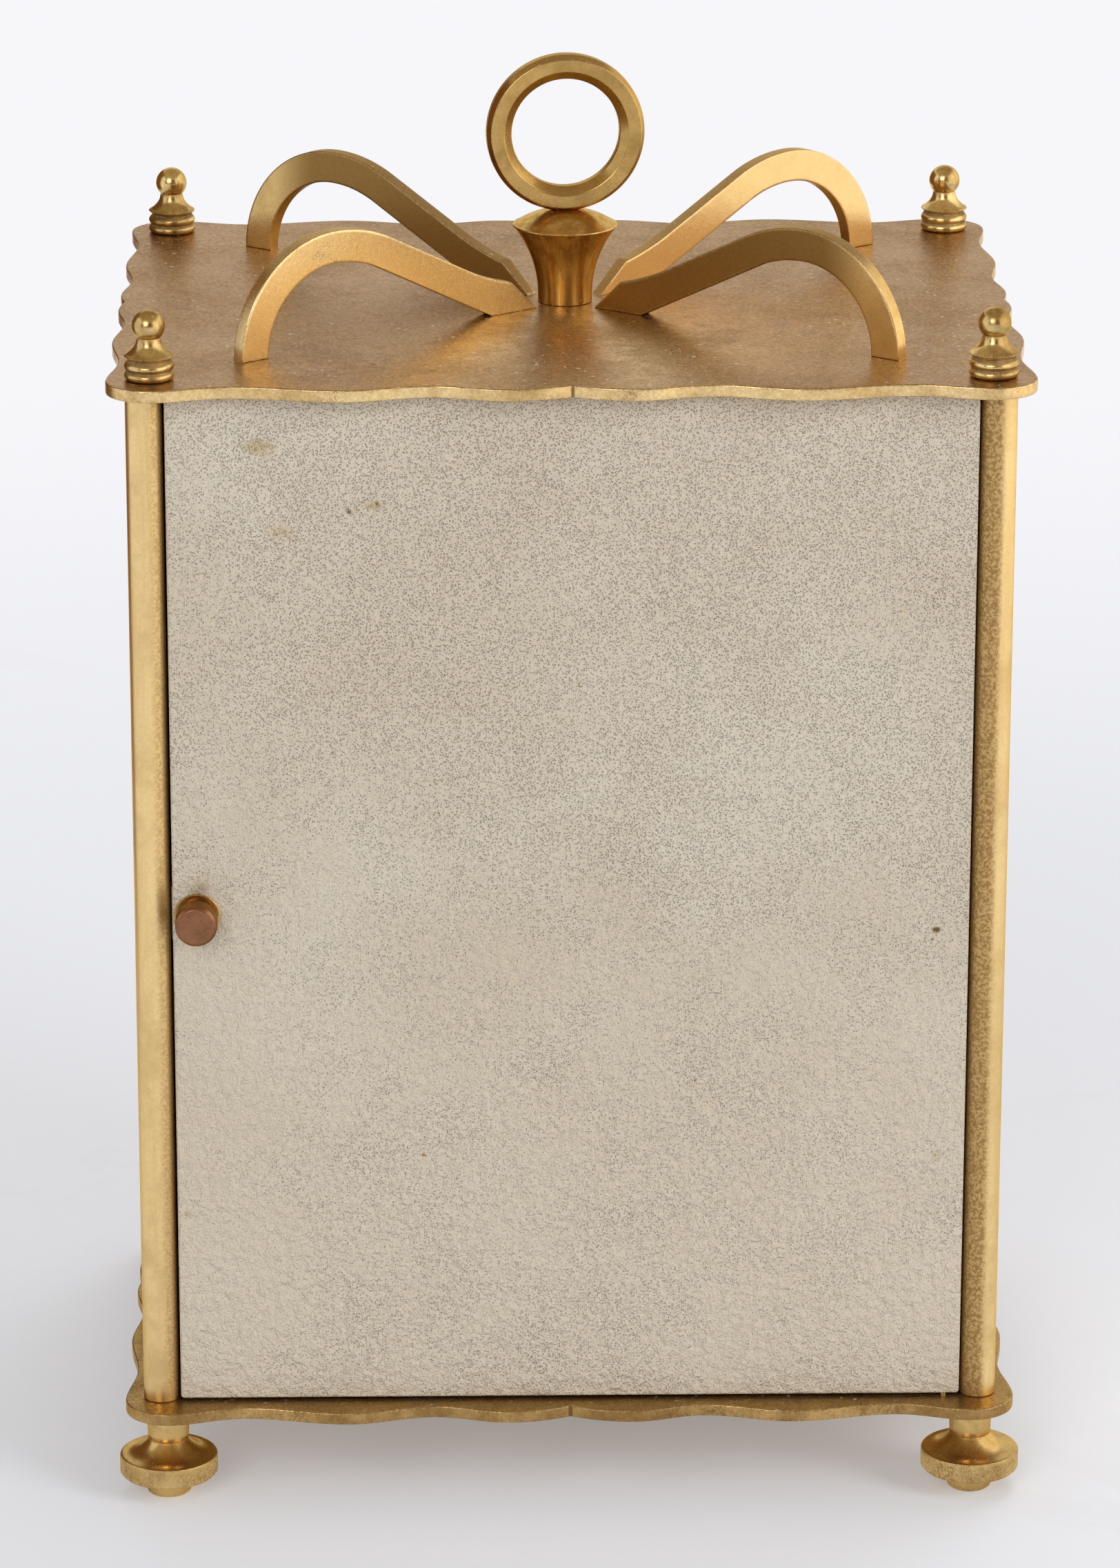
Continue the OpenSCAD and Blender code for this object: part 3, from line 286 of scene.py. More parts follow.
def makeDust(s):
    # a thin film and bright specks on whatever faces up
    g, given, made = group("dust", {"Film": 0.2, "Specks": 0.5}, ("Mask", "Upward"))
    place = objectPlace(g)
    up = ramp(g, split(g, faceNormal(g))["Z"], 0.55, 0.93)

    def specksOf(scale, bare):
        away, drawn = cells(g, place, scale)
        wide = ramp(g, drawn[0], bare, 1, 0, 0.34)  # no speck in the cells that draw less than bare
        return ramp(g, minus(g, wide, away), 0, 0.06)

    specks = larger(g, specksOf(s["speck"], 0.78), times(g, specksOf(s["fineSpeck"], 0.45), 0.7))
    where = ramp(g, noise(g, place, s["areas"], 3), 0.40, 0.62, 0.45, 1)
    specks = times(g, times(g, specks, where), given["Specks"])
    film = times(g, ramp(g, noise(g, place, s["film"], 5, 0.7), 0.35, 0.75, 0.3, 1), given["Film"])
    put(g, times(g, larger(g, specks, film), up), made["Mask"])
    put(g, up, made["Upward"])
    return g


tarnish = makeTarnish(tarnishScales)
satin = makeSatin(satinScales)
dust = makeDust(dustScales)

plates = {
    "width": 149, "depth": 120, "thick": 2, "cornerR": 7.2,
    "frontHollow": 2.8, "sideHollow": 1.5,
    "frontStops": (0, 0.155, 0.335, 0.55, 0.81, 1), "sideStops": (0, 0.1, 0.29, 0.515, 0.775, 1),
    "frontShape": (1, 0.1, 1, 0, 0.95, 0), "sideShape": (0.55, 0.05, 0.95, 0, 1, 0),
    "edge": 0.22, "steps": 20, "base": 15, "top": 190.9,
    "studX": 67.5, "studY": 51.95, "studR": 1.3,
}

# bright and dull are the cleaned and the tarnished metal; patina is what has settled on the faces that look up. The
# base plate and the straps take lighter and darker copies of these colours, as painted light and shade
brassFinishes = {
    "plateBrass": {
        "bright": (0.97, 0.72, 0.35), "dull": (0.58, 0.36, 0.13), "patina": (0.49, 0.305, 0.132), "topPatina": 0.92,
        "clouds": 0.8, "mottle": 0.46, "specks": 0.9, "speckScale": 1300, "rough": 0.24, "peel": 0.3,
        "film": 0.03, "dust": 0.75, "edgeWearAndHighlight": 0.6,
        "polished": (0, 0.038, 0.04, 0.75), "nick": 0.0004, "slant": (0.96, 0.85, 0.74)},
    # a darker copy of the plate brass for the base plate: painted shade
    "shadedBasePlateBrass": {
        "bright": (0.66, 0.43, 0.165), "dull": (0.29, 0.16, 0.05), "patina": (0.50, 0.34, 0.15), "topPatina": 0.6,
        "clouds": 0.8, "mottle": 0.4, "specks": 1, "speckScale": 1300, "rough": 0.24, "peel": 0.15,
        "film": 0.05, "dust": 0.5, "edgeWearAndHighlight": 0.5, "nick": 0.0005},
    "columnBrass": {
        "bright": (0.95, 0.70, 0.33), "dull": (0.52, 0.32, 0.11), "patina": (0.4, 0.27, 0.14), "topPatina": 0,
        "clouds": 0.45, "mottle": 0.14, "specks": 0.3, "speckScale": 1500, "rough": 0.31, "peel": 0.1,
        "film": 0, "dust": 0, "streaks": 0.3, "edgeWearAndHighlight": 0.3, "innerSide": 0.6},
    "turnedBrass": {
        "bright": (0.97, 0.73, 0.33), "dull": (0.33, 0.19, 0.05), "patina": (0.50, 0.33, 0.14), "topPatina": 0.2,
        "clouds": 0.9, "mottle": 0.3, "specks": 0.8, "speckScale": 1500, "rough": 0.20, "peel": 0.12,
        "film": 0.03, "dust": 0.3, "streaks": 0.1, "edgeWearAndHighlight": 0.5},
    "crownBrass": {
        "bright": (0.86, 0.59, 0.21), "dull": (0.38, 0.20, 0.05), "patina": (0.52, 0.34, 0.14), "topPatina": 0.35,
        "clouds": 0.5, "mottle": 0.08, "specks": 0.4, "speckScale": 1800, "rough": 0.19, "peel": 0.12,
        "film": 0.03, "dust": 0.3, "streaks": 0.7, "edgeWearAndHighlight": 0.7},
    # three copies of one strap brass, lit, half lit and shaded: painted light and shade
    "litStrapBrass": {
        "bright": (1, 0.81, 0.44), "dull": (0.74, 0.48, 0.18), "patina": (0.42, 0.26, 0.12), "topPatina": 0.8,
        "clouds": 0.35, "mottle": 0.2, "specks": 0.85, "speckScale": 1800, "rough": 0.21, "peel": 0.3,
        "film": 0.05, "dust": 0.5, "edgeWearAndHighlight": 0.6, "innerShade": (0.052, 0.025, 0.4)},
    "halfLitStrapBrass": {
        "bright": (0.84, 0.61, 0.29), "dull": (0.66, 0.43, 0.165), "patina": (0.42, 0.26, 0.12), "topPatina": 0.8,
        "clouds": 0.3, "mottle": 0.12, "specks": 0.5, "speckScale": 1900, "rough": 0.21, "peel": 0.3,
        "film": 0.05, "dust": 0.5, "edgeWearAndHighlight": 0.6, "innerShade": (0.03, 0.02, 0.2)},
    "shadedStrapBrass": {
        "bright": (0.84, 0.58, 0.24), "dull": (0.25, 0.135, 0.035), "patina": (0.40, 0.26, 0.13), "topPatina": 0.8,
        "clouds": 0.4, "mottle": 0.12, "specks": 0.45, "speckScale": 1900, "rough": 0.20, "peel": 0.25,
        "film": 0.05, "dust": 0.5, "edgeWearAndHighlight": 0.9, "innerShade": (0.066, 0.052, 0.92)},
    "footBrass": {
        "bright": (0.76, 0.52, 0.20), "dull": (0.34, 0.195, 0.06), "patina": (0.50, 0.33, 0.13), "topPatina": 0.3,
        "clouds": 0.9, "mottle": 0.1, "specks": 0.9, "speckScale": 1500, "rough": 0.20, "peel": 0.12,
        "film": 0.05, "dust": 0.3, "edgeWearAndHighlight": 0.6},
    "ringBrass": {
        "bright": (0.62, 0.40, 0.135), "dull": (0.36, 0.21, 0.062), "patina": (0.45, 0.30, 0.14), "topPatina": 0.4,
        "clouds": 0.7, "mottle": 0.16, "specks": 0.5, "speckScale": 2000, "rough": 0.22, "peel": 0.2,
        "film": 0.05, "dust": 0.35, "edgeWearAndHighlight": 0.6},
    "movementBrass": {
        "bright": (0.88, 0.63, 0.29), "dull": (0.62, 0.41, 0.17), "patina": (0.5, 0.36, 0.2), "topPatina": 0.1,
        "clouds": 0.4, "mottle": 0.06, "specks": 0.1, "speckScale": 1700, "rough": 0.22, "peel": 0.1,
        "film": 0.04, "dust": 0.2, "streaks": 0.1, "edgeWearAndHighlight": 0.4},
    "knobBronze": {
        "bright": (0.32, 0.15, 0.075), "dull": (0.10, 0.045, 0.022), "patina": (0.3, 0.2, 0.12), "topPatina": 0,
        "clouds": 0.9, "mottle": 0.3, "specks": 0.6, "speckScale": 1900, "rough": 0.30, "peel": 0.2,
        "film": 0, "dust": 0.1, "edgeWearAndHighlight": 0.4},
}
onBrass = {  # what lies on every brass; slant is the colour of a face seen at a low angle
    "grimeAndShade": (0.17, 0.095, 0.035), "wearAndHighlight": (0.96, 0.76, 0.45), "speck": (0.14, 0.07, 0.025),
    "dust": (0.76, 0.69, 0.60), "slant": (0.93, 0.76, 0.46), "grain": 0.15, "drawnOut": 0.03,
    "bump": 0.3, "depth": 0.00012, "shift": 0.37,
}


def brassFinish(name, f, on, shift):
    m, t, shader = newFinish(name)
    put(t, f.get("slant", on["slant"]), shader["Specular Tint"])
    streaks = f.get("streaks", 0)
    marks = use(t, tarnish, {"Clouds": f["clouds"], "Specks": f["specks"], "Speck Scale": f["speckScale"],
                             "Shift": shift})
    peel = use(t, satin, {"Grain": on["grain"], "Peel": f["peel"], "Stretch": on["drawnOut"] if streaks else 1})
    dusty = use(t, dust, {"Film": f["film"], "Specks": f["dust"]})
    # grime and painted shade in the turned pieces' hollows, read from the mesh
    grimeAndShade = add(t, "ShaderNodeAttribute", attribute_name="grimeAndShade").outputs["Fac"]
    dirtAndShade = larger(t, marks["Clouds"], times(t, peel["Streaks"], streaks))
    patina = times(t, dusty["Upward"], f["topPatina"])
    if "innerSide" in f:
        # the half of a column that faces the door is darker and rougher, and more of it beside the hinges: partly
        # unpolished brass, partly painted shade from the narrow gap by the door
        x = split(t, objectPlace(t))["X"]
        inward = times(t, mathNode(t, "SIGN", x), times(t, split(t, faceNormal(t))["X"], -1))
        hinged = ramp(t, x, 0, -1 * mm)
        reached = plus(t, inward, times(t, hinged, 0.5))
        amount = plus(t, times(t, hinged, 1 - f["innerSide"]), f["innerSide"])
        inward = times(t, ramp(t, reached, 0.05, 0.55), amount)
        inward = times(t, inward, ramp(t, marks["Mottle"], 0.1, 0.9, 0.55, 1))
        dirtAndShade = larger(t, dirtAndShade, inward)
        grimeAndShade = larger(t, grimeAndShade, times(t, inward, 0.45))
    if "innerShade" in f:
        # painted shade: the straps are darkened towards the crown and brightest at the corners
        far, close, most = f["innerShade"]
        reach = vectorNode(t, "LENGTH", vectorNode(t, "MULTIPLY", objectPlace(t), (1, 1, 0)))
        dirtAndShade = larger(t, dirtAndShade, ramp(t, reach, close, far, most, 0))
    if "polished" in f:
        # painted reflection: a golden glow in front of the crown, where less patina lets the bright brass show, in
        # place of the crown and straps mirrored in the plate
        x, y, radius, amount = f["polished"]
        middle = (x, y, (plates["top"] + plates["thick"]) * mm)
        reach = vectorNode(t, "LENGTH", vectorNode(t, "SUBTRACT", objectPlace(t), middle))
        patina = times(t, patina, minus(t, 1, ramp(t, reach, radius * 0.2, radius, amount, 0)))
    if "nick" in f:
        # a dark nick painted in the middle of each plate's back rim: painted shade of a small notch there
        rim = (plates["depth"] / 2 - plates["frontHollow"]) * mm
        at = split(t, objectPlace(t))
        nick = ramp(t, mathNode(t, "ABSOLUTE", at["X"]), f["nick"] * 0.4, f["nick"], 1, 0)
        grimeAndShade = larger(t, grimeAndShade, times(t, nick, ramp(t, at["Y"], rim - 0.7 * mm, rim)))
    colour = mixColour(t, dirtAndShade, f["bright"], f["dull"])
    colour = mixColour(t, patina, colour, f["patina"])
    mottled = ramp(t, dusty["Upward"], 0, 1, f["mottle"] * 0.5, f["mottle"])
    colour = mixColour(t, 1, colour, minus(t, 1, times(t, marks["Mottle"], mottled)), "MULTIPLY")
    # darkened with grime and painted shade: hollows, the columns' door side and the plates' nick
    colour = mixColour(t, times(t, grimeAndShade, 0.8), colour, on["grimeAndShade"])
    # the edges brightened as wear and as painted highlight
    wearAndHighlight = times(t, marks["Edges"], times(t, f["edgeWearAndHighlight"], minus(t, 1.15, marks["Mottle"])), clamp=True)
    colour = mixColour(t, wearAndHighlight, colour, on["wearAndHighlight"])
    colour = mixColour(t, times(t, marks["Specks"], 0.7), colour, on["speck"])
    put(t, mixColour(t, dusty["Mask"], colour, on["dust"]), shader["Base Color"])
    rough = plus(t, plus(t, times(t, dirtAndShade, 0.12), f["rough"]), peel["Roughness"])
    rough = plus(t, rough, plus(t, times(t, patina, 0.1), times(t, grimeAndShade, 0.5)))
    put(t, plus(t, rough, times(t, dusty["Mask"], 0.4), clamp=True), shader["Roughness"])
    covered = larger(t, dusty["Mask"], times(t, larger(t, marks["Specks"], grimeAndShade), 0.3))
    put(t, minus(t, 1, covered, clamp=True), shader["Metallic"])
    bump(t, minus(t, peel["Height"], times(t, marks["Specks"], 0.8)), on["bump"], on["depth"], shader["Normal"])
    return m


brass = {name: brassFinish(name, f, onBrass, onBrass["shift"] * k) for k, (name, f) in enumerate(brassFinishes.items())}

steelFinishes = {
    "steel": {"bright": (0.56, 0.57, 0.58), "dull": (0.30, 0.29, 0.28), "rough": 0.24},
    "bluedSteel": {"bright": (0.09, 0.13, 0.30), "dull": (0.05, 0.06, 0.11), "rough": 0.22},
    "springSteel": {"bright": (0.17, 0.15, 0.13), "dull": (0.08, 0.07, 0.06), "rough": 0.30},
}
onSteel = {"clouds": 0.5, "specks": 0.2, "speckScale": 1800, "shift": 2.9, "edge": 0.0003, "wearAndHighlight": (0.8, 0.8, 0.8),
           "grain": 0.6, "peel": 0.1, "bump": 0.2, "depth": 0.0001}


def steelFinish(name, f, on):
    m, t, shader = newFinish(name)
    shader["Metallic"].default_value = 1
    marks = use(t, tarnish, {"Clouds": on["clouds"], "Specks": on["specks"], "Speck Scale": on["speckScale"],
                             "Shift": on["shift"], "Edge Width": on["edge"]})
    peel = use(t, satin, {"Grain": on["grain"], "Peel": on["peel"]})
    colour = mixColour(t, marks["Clouds"], f["bright"], f["dull"])
    put(t, mixColour(t, times(t, marks["Edges"], 0.4), colour, on["wearAndHighlight"]), shader["Base Color"])
    rough = plus(t, times(t, marks["Clouds"], 0.2), f["rough"])
    put(t, plus(t, rough, peel["Roughness"], clamp=True), shader["Roughness"])
    bump(t, peel["Height"], on["bump"], on["depth"], shader["Normal"])
    return m


steel = {name: steelFinish(name, f, onSteel) for name, f in steelFinishes.items()}

paint = {
    "cream": (0.625, 0.538, 0.405), "pale": (0.675, 0.598, 0.472), "brownish": (0.590, 0.490, 0.358),
    "low": (0.72, 0.625, 0.492),  # paler towards the bottom
    "pit": (0.175, 0.145, 0.115), "rustyPit": (0.30, 0.19, 0.07), "rim": (0.78, 0.72, 0.62),
    "rustAndShadow": (0.47, 0.325, 0.11), "dark": (0.12, 0.048, 0.013), "chip": (0.10, 0.06, 0.035),
    "specular": 0.35, "bump": 0.9, "depth": 0.00024, "edge": 0.0007,
    # waves or cells in a metre, and how far the pits' cells are pushed about
    "paleScale": 17, "brownScale": 27, "pitAreas": 26, "finePitAreas": 90, "pitScale": 2900, "fineScale": 2300,
    "lumpScale": 620, "blotScale": 520, "chipScale": 330, "wobbleScale": 1100, "wobble": 0.00035,
    # on the door, seen from the back: x, z, radius in mm, strength, sideways stretch
    "stainsAndShadow": [(49.8, 182.2, 2.1, 0.62, 2.0), (46.9, 168.0, 1.9, 0.42, 1.7), (31.9, 172.4, 1.2, 0.60, 2.2),
               # the stain at x 60.6, z 108.7 is painted shadow around the knob
               (34.8, 171.7, 0.7, 0.5, 1.4), (60.6, 108.7, 2.6, 0.25, 1.0), (-53.2, 154.3, 0.4, 0.8, 0.7),
               (-1.2, 142.1, 0.4, 0.8, 1.0), (-14.9, 101.0, 0.4, 0.8, 0.7), (-59.7, 99.6, 0.6, 0.85, 1.3),
               (-20.5, 73.8, 0.4, 0.7, 1.0), (24.4, 60.9, 0.5, 0.7, 1.2), (63.5, 50.8, 0.9, 0.6, 1.0),
               (-60.5, 60.0, 1.4, 0.25, 1.0)],
    "spotsAndShadow": [(35.8, 171.4, 0.8, 1.0, 1.0), (31.3, 172.7, 0.35, 0.8, 1.0), (-59.9, 100.0, 0.6, 0.9, 1.5),
              (-59.2, 98.3, 0.3, 0.7, 1.0), (24.4, 60.9, 0.25, 0.7, 1.3), (-20.5, 73.8, 0.2, 0.6, 1.0),
              # the spot at x 60.8, z 106.9 is painted shadow around the knob
              (63.2, 104.8, 1.5, 0.75, 0.6), (60.8, 106.9, 2.3, 0.4, 1.3)],
}


def paintFinish(name, p, stainedAndShadowed):
    m, t, shader = newFinish(name)
    shader["Specular IOR Level"].default_value = p["specular"]
    place = objectPlace(t)
    at = split(t, place)
    pale = ramp(t, noise(t, place, p["paleScale"], 4, 0.55), 0.38, 0.62)
    colour = mixColour(t, pale, p["cream"], p["pale"])
    brown = ramp(t, noise(t, place, p["brownScale"], 5, 0.6), 0.48, 0.70)
    colour = mixColour(t, times(t, brown, 0.55), colour, p["brownish"])
    colour = mixColour(t, times(t, ramp(t, at["Z"], 0.12, 0.03), 0.75), colour, p["low"])
    # wrinkled paint: lumps under a millimetre across, with short dark pits between them
    wobble = noise(t, place, p["wobbleScale"], output="Color")
    warped = vectorNode(t, "MULTIPLY_ADD", wobble, (p["wobble"],) * 3, place)
    away, drawn = cells(t, warped, p["pitScale"])
    lumps = ramp(t, away, 0.1, 0.75)
    fine = noise(t, place, p["fineScale"], 3, 0.6)
    density = mixed(t, noise(t, place, p["pitAreas"], 3, 0.6), noise(t, place, p["finePitAreas"], 3, 0.6), 0.6)
    density = plus(t, density, ramp(t, at["Z"], 0.04, 0.17, -0.09, 0.07))  # more pits higher up
    least = ramp(t, density, 0.32, 0.61, 0.62, -0.35)
    wide = ramp(t, minus(t, drawn[0], least), -0.25, 0.75, 0, 0.37)
    inside = minus(t, wide, away)
    pit = ramp(t, inside, -0.07, 0.16)
    rim = minus(t, ramp(t, inside, -0.32, -0.12), ramp(t, inside, -0.12, 0), clamp=True)
    rim = times(t, rim, ramp(t, wide, 0.03, 0.2))
    colour = mixColour(t, times(t, rim, 0.38), colour, p["rim"])
    pitColour = mixColour(t, ramp(t, drawn[2], 0.72, 0.8), p["pit"], p["rustyPit"])
    colour = mixColour(t, times(t, pit, ramp(t, drawn[1], 0, 1, 0.14, 0.66)), colour, pitColour)
    if stainedAndShadowed:
        blot = times(t, noise(t, place, p["blotScale"], 4, 0.7), 1.8)
        # real stains and dark spots, and two painted shadows around the knob
        for marks, tone in ((p["stainsAndShadow"], p["rustAndShadow"]), (p["spotsAndShadow"], p["dark"])):
            total = None
            for x, z, r, strength, stretch in marks:
                dx = times(t, minus(t, at["X"], x * mm), 1 / (r * mm * stretch))
                dz = times(t, minus(t, at["Z"], z * mm), 1 / (r * mm))
                reach = mathNode(t, "SQRT", plus(t, times(t, dx, dx), times(t, dz, dz)))
                mark = times(t, ramp(t, plus(t, reach, blot), 1, 1.9, 1, 0), strength, clamp=True)
                total = mark if total is None else larger(t, total, mark)
            colour = mixColour(t, total, colour, tone)
    chip = times(t, ramp(t, flatness(t, p["edge"]), 0.7, 0.99, 1, 0),
                 ramp(t, noise(t, place, p["chipScale"], 4, 0.7), 0.54, 0.60))
    put(t, mixColour(t, chip, colour, p["chip"]), shader["Base Color"])
    put(t, ramp(t, fine, 0.3, 0.7, 0.46, 0.62), shader["Roughness"])
    coarse = times(t, noise(t, warped, p["lumpScale"], 3, 0.6), ramp(t, at["Z"], 0.13, 0.05, 2.6, 5))
    height = plus(t, plus(t, times(t, lumps, -0.45), times(t, fine, 0.3)), coarse)
    bump(t, minus(t, height, times(t, pit, 0.9)), p["bump"], p["depth"], shader["Normal"])
    return m


doorPaint = paintFinish("doorPaint", paint, True)
panelPaint = paintFinish("panelPaint", paint, False)
print("finishes made")


# mesh helpers

def offset(points, d):
    # the outline moved inwards by d, for an outline that runs anticlockwise
    count = len(points)
    moved = []
    for k in range(count):
        a, b, c = Vector(points[k - 1]), Vector(points[k]), Vector(points[(k + 1) % count])
        n1 = Vector((-(b - a).y, (b - a).x)).normalized()
        n2 = Vector((-(c - b).y, (c - b).x)).normalized()
        moved.append(b + (n1 + n2) * (d / max(0.35, 1 + n1.dot(n2))))
    return moved


def area(points):
    return sum(a[0] * b[1] - b[0] * a[1] for a, b in zip(points[-1:] + points, points)) / 2


def finishMesh(name, bm, material, sharp=35):
    bmesh.ops.remove_doubles(bm, verts=bm.verts, dist=1e-7)
    bmesh.ops.recalc_face_normals(bm, faces=bm.faces)
    for f in bm.faces:
        f.smooth = True
    for e in bm.edges:
        if len(e.link_faces) == 2 and e.calc_face_angle(0) > math.radians(sharp):
            e.smooth = False
    mesh = bpy.data.meshes.new(name)
    bm.to_mesh(mesh)
    bm.free()
    mesh.materials.append(material)
    piece = bpy.data.objects.new(name, mesh)
    bpy.context.scene.collection.objects.link(piece)
    return piece


def softSlab(name, outline, low, high, edge, material, place=Matrix.Identity(4), holes=(), rim=0.35):
    # a flat piece cut from an outline in mm, its rims rounded by edge; place turns its x, y, z into the clock's,
    # and rim is the narrow flat strip that keeps the broad faces flat
    if area(outline) < 0:
        outline = outline[::-1]
    part = edge * (1 - math.sqrt(0.5))  # half way round the rounding
    rows = [(edge, low), (part, low + part), (0, low + edge), (0, high - edge), (part, high - part), (edge, high)]
    bm = bmesh.new()
    rings = []
    for inset, z in rows:
        rings.append([bm.verts.new(place @ Vector((p[0], p[1], z))) for p in offset(outline, inset)])
    n = len(outline)
    for a, b in zip(rings, rings[1:]):
        for i in range(n):
            bm.faces.new((a[i], a[(i + 1) % n], b[(i + 1) % n], b[i]))
    inside = offset(outline, edge + rim)
    for ring, z in ((rings[0], low), (rings[-1], high)):
        cap = [bm.verts.new(place @ Vector((p[0], p[1], z))) for p in inside]
        for i in range(n):
            bm.faces.new((ring[i], ring[(i + 1) % n], cap[(i + 1) % n], cap[i]))
        bm.faces.new(cap)
    bmesh.ops.scale(bm, vec=(mm, mm, mm), verts=bm.verts)
    piece = finishMesh(name, bm, material, 50)
    if holes:
        cutter = bmesh.new()
        for x, y, r in holes:
            middle = Matrix.Translation((x * mm, y * mm, (low + high) / 2 * mm))
            bmesh.ops.create_cone(cutter, cap_ends=True, segments=32, radius1=r * mm, radius2=r * mm,
                                  depth=(high - low + 2) * mm, matrix=middle)
        mesh = bpy.data.meshes.new("cutter")
        cutter.to_mesh(mesh)
        cutter.free()
        tool = bpy.data.objects.new("cutter", mesh)
        bpy.context.scene.collection.objects.link(tool)
        cut = piece.modifiers.new("holes", "BOOLEAN")
        cut.object, cut.operation, cut.solver = tool, "DIFFERENCE", "EXACT"
        applyModifiers(piece)
        bpy.data.objects.remove(tool)
    return flatten(piece)


def flatten(piece):
    # broad faces keep their own normals, and only the narrow rounds between them blend
    weigh = piece.modifiers.new("flatFaces", "WEIGHTED_NORMAL")
    weigh.keep_sharp = True
    return piece


def applyModifiers(piece):
    bpy.context.view_layer.update()
    mesh = bpy.data.meshes.new_from_object(piece.evaluated_get(bpy.context.evaluated_depsgraph_get()))
    piece.modifiers.clear()
    piece.data = mesh


def rounded(points, r, steps=3):
    # an open profile with its inner corners rounded by r
    out = [points[0]]
    for a, b, c in zip(points, points[1:], points[2:]):
        a, b, c = Vector(a), Vector(b), Vector(c)
        u, v = (a - b), (c - b)
        if u.angle(v, math.pi) > math.radians(165):  # nearly straight on
            out.append(tuple(b))
            continue
        reach = min(r, u.length * 0.45, v.length * 0.45)
        p, q = b + u.normalized() * reach, b + v.normalized() * reach
        for i in range(steps + 1):
            s = i / steps
            out.append(tuple((1 - s) ** 2 * p + 2 * s * (1 - s) * b + s * s * q))
    out.append(points[-1])
    return out


def turned(name, profile, material, place, turns=128, closed=False, ripple=None, sharp=38):
    # a piece turned on a lathe: profile is (radius, height) in mm; ripple is (count, depth, lowest, highest)
    bm = bmesh.new()
    grimeAndShade = bm.verts.layers.float.new("grimeAndShade")
    rings = []
    for row, (r, z) in enumerate(profile):
        if r < 1e-6:
            rings.append([bm.verts.new(place @ Vector((0, 0, z)))])
            continue
        # the profile's hollows and the ripple's grooves are darkened: grime and painted shade
        dirtAndShade = hollow(profile, row)
        ring = []
        for k in range(turns):
            a = 2 * math.pi * k / turns
            cut = 0
            if ripple and ripple[2] <= z <= ripple[3]:
                cut = ripple[1] * (0.5 + 0.5 * math.cos(a * ripple[0]))
            ring.append(bm.verts.new(place @ Vector(((r - cut) * math.cos(a), (r - cut) * math.sin(a), z))))
            ring[-1][grimeAndShade] = min(1, dirtAndShade + cut * 2.5)
        rings.append(ring)
    pairs = list(zip(rings, rings[1:])) + ([(rings[-1], rings[0])] if closed else [])
    for a, b in pairs:
        for k in range(turns):
            k1 = (k + 1) % turns
            if len(a) == 1 and len(b) == 1:
                break
            if len(a) == 1:
                bm.faces.new((a[0], b[k1], b[k]))
            elif len(b) == 1:
                bm.faces.new((a[k], a[k1], b[0]))
            else:
                bm.faces.new((a[k], a[k1], b[k1], b[k]))
    bmesh.ops.scale(bm, vec=(mm, mm, mm), verts=bm.verts)
    return flatten(finishMesh(name, bm, material, sharp))


def hollow(profile, row, reach=0.9):
    # how deep a row of the profile lies between higher ones within reach, from 0 to 1
    r, z = profile[row]
    below = max((p[0] for p in profile[:row] if z - p[1] < reach), default=r)
    above = max((p[0] for p in profile[row + 1:] if p[1] - z < reach), default=r)
    return max(0, min(1, (min(below, above) - r) / 0.45))


def camel(kind, name):
    return kind + name.title().replace("_", "")


def seat(piece, body, node):
    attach(piece, body)
    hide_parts(node)


def arc(cx, cy, r, start, end, steps):
    angles = [math.radians(start + (end - start) * i / steps) for i in range(steps + 1)]
    return [(cx + r * math.cos(a), cy + r * math.sin(a)) for a in angles]


# plates

def plateOutline(p):
    # one quarter of the waved edge, mirrored: each wave eases from one inset to the next
    def run(stops, shape, hollow, length):
        for k in range(len(stops) - 1):
            for i in range(p["steps"]):
                s = i / p["steps"]
                a, b = shape[k] * hollow, shape[k + 1] * hollow
                ease = (1 - math.cos(math.pi * s)) / 2 if k else 1 - (1 - s) ** 2
                inset = a + (b - a) * ease
                yield length * (stops[k] + (stops[k + 1] - stops[k]) * s), inset
    w, d, r = p["width"] / 2, p["depth"] / 2, p["cornerR"]
    quarter = [(x, d - inset) for x, inset in run(p["frontStops"], p["frontShape"], p["frontHollow"], w - r)]
    quarter += arc(w - r, d - r, r, 90, 0, 24)
    quarter += [(w - inset, y) for y, inset in run(p["sideStops"], p["sideShape"], p["sideHollow"], d - r)][::-1]
    return (quarter + [(x, -y) for x, y in quarter[1:-1]][::-1]
            + [(-x, -y) for x, y in quarter] + [(-x, y) for x, y in quarter[1:-1]][::-1])


studHoles = [(x * plates["studX"], y * plates["studY"], plates["studR"]) for x, y in corners.values()]
outline = plateOutline(plates)
for level, finish, slot in (("base", "shadedBasePlateBrass", "plate_brass"), ("top", "plateBrass", "top_plate_brass")):
    low, high = plates[level], plates[level] + plates["thick"]
    piece = softSlab(level + "Plate", outline, low, high, plates["edge"], brass[finish], holes=studHoles)
    seat(piece, "case", level + "_plate")
print("plates made")


# columns, finials and feet

columns = {"x": 68.5, "y": 51.95, "r": 3, "low": 17, "high": 190.9, "edge": 0.2}
finials = {"base": 192.9, "skirtR": 4, "ringR": 0.75, "grooveR": 3.35, "skirtZ": 3.9, "neckR": 2, "neckZ": 6.5,
           "ballR": 2.65, "ballSunk": 0.45}
feet = {"rimR": 8.2, "rimH": 3.6, "rimEdge": 0.4, "padH": 3.4, "neckR": 3.65, "topR": 3.35, "cove": 2.7, "height": 15,
        "grooves": 180, "grooveDepth": 0.07}


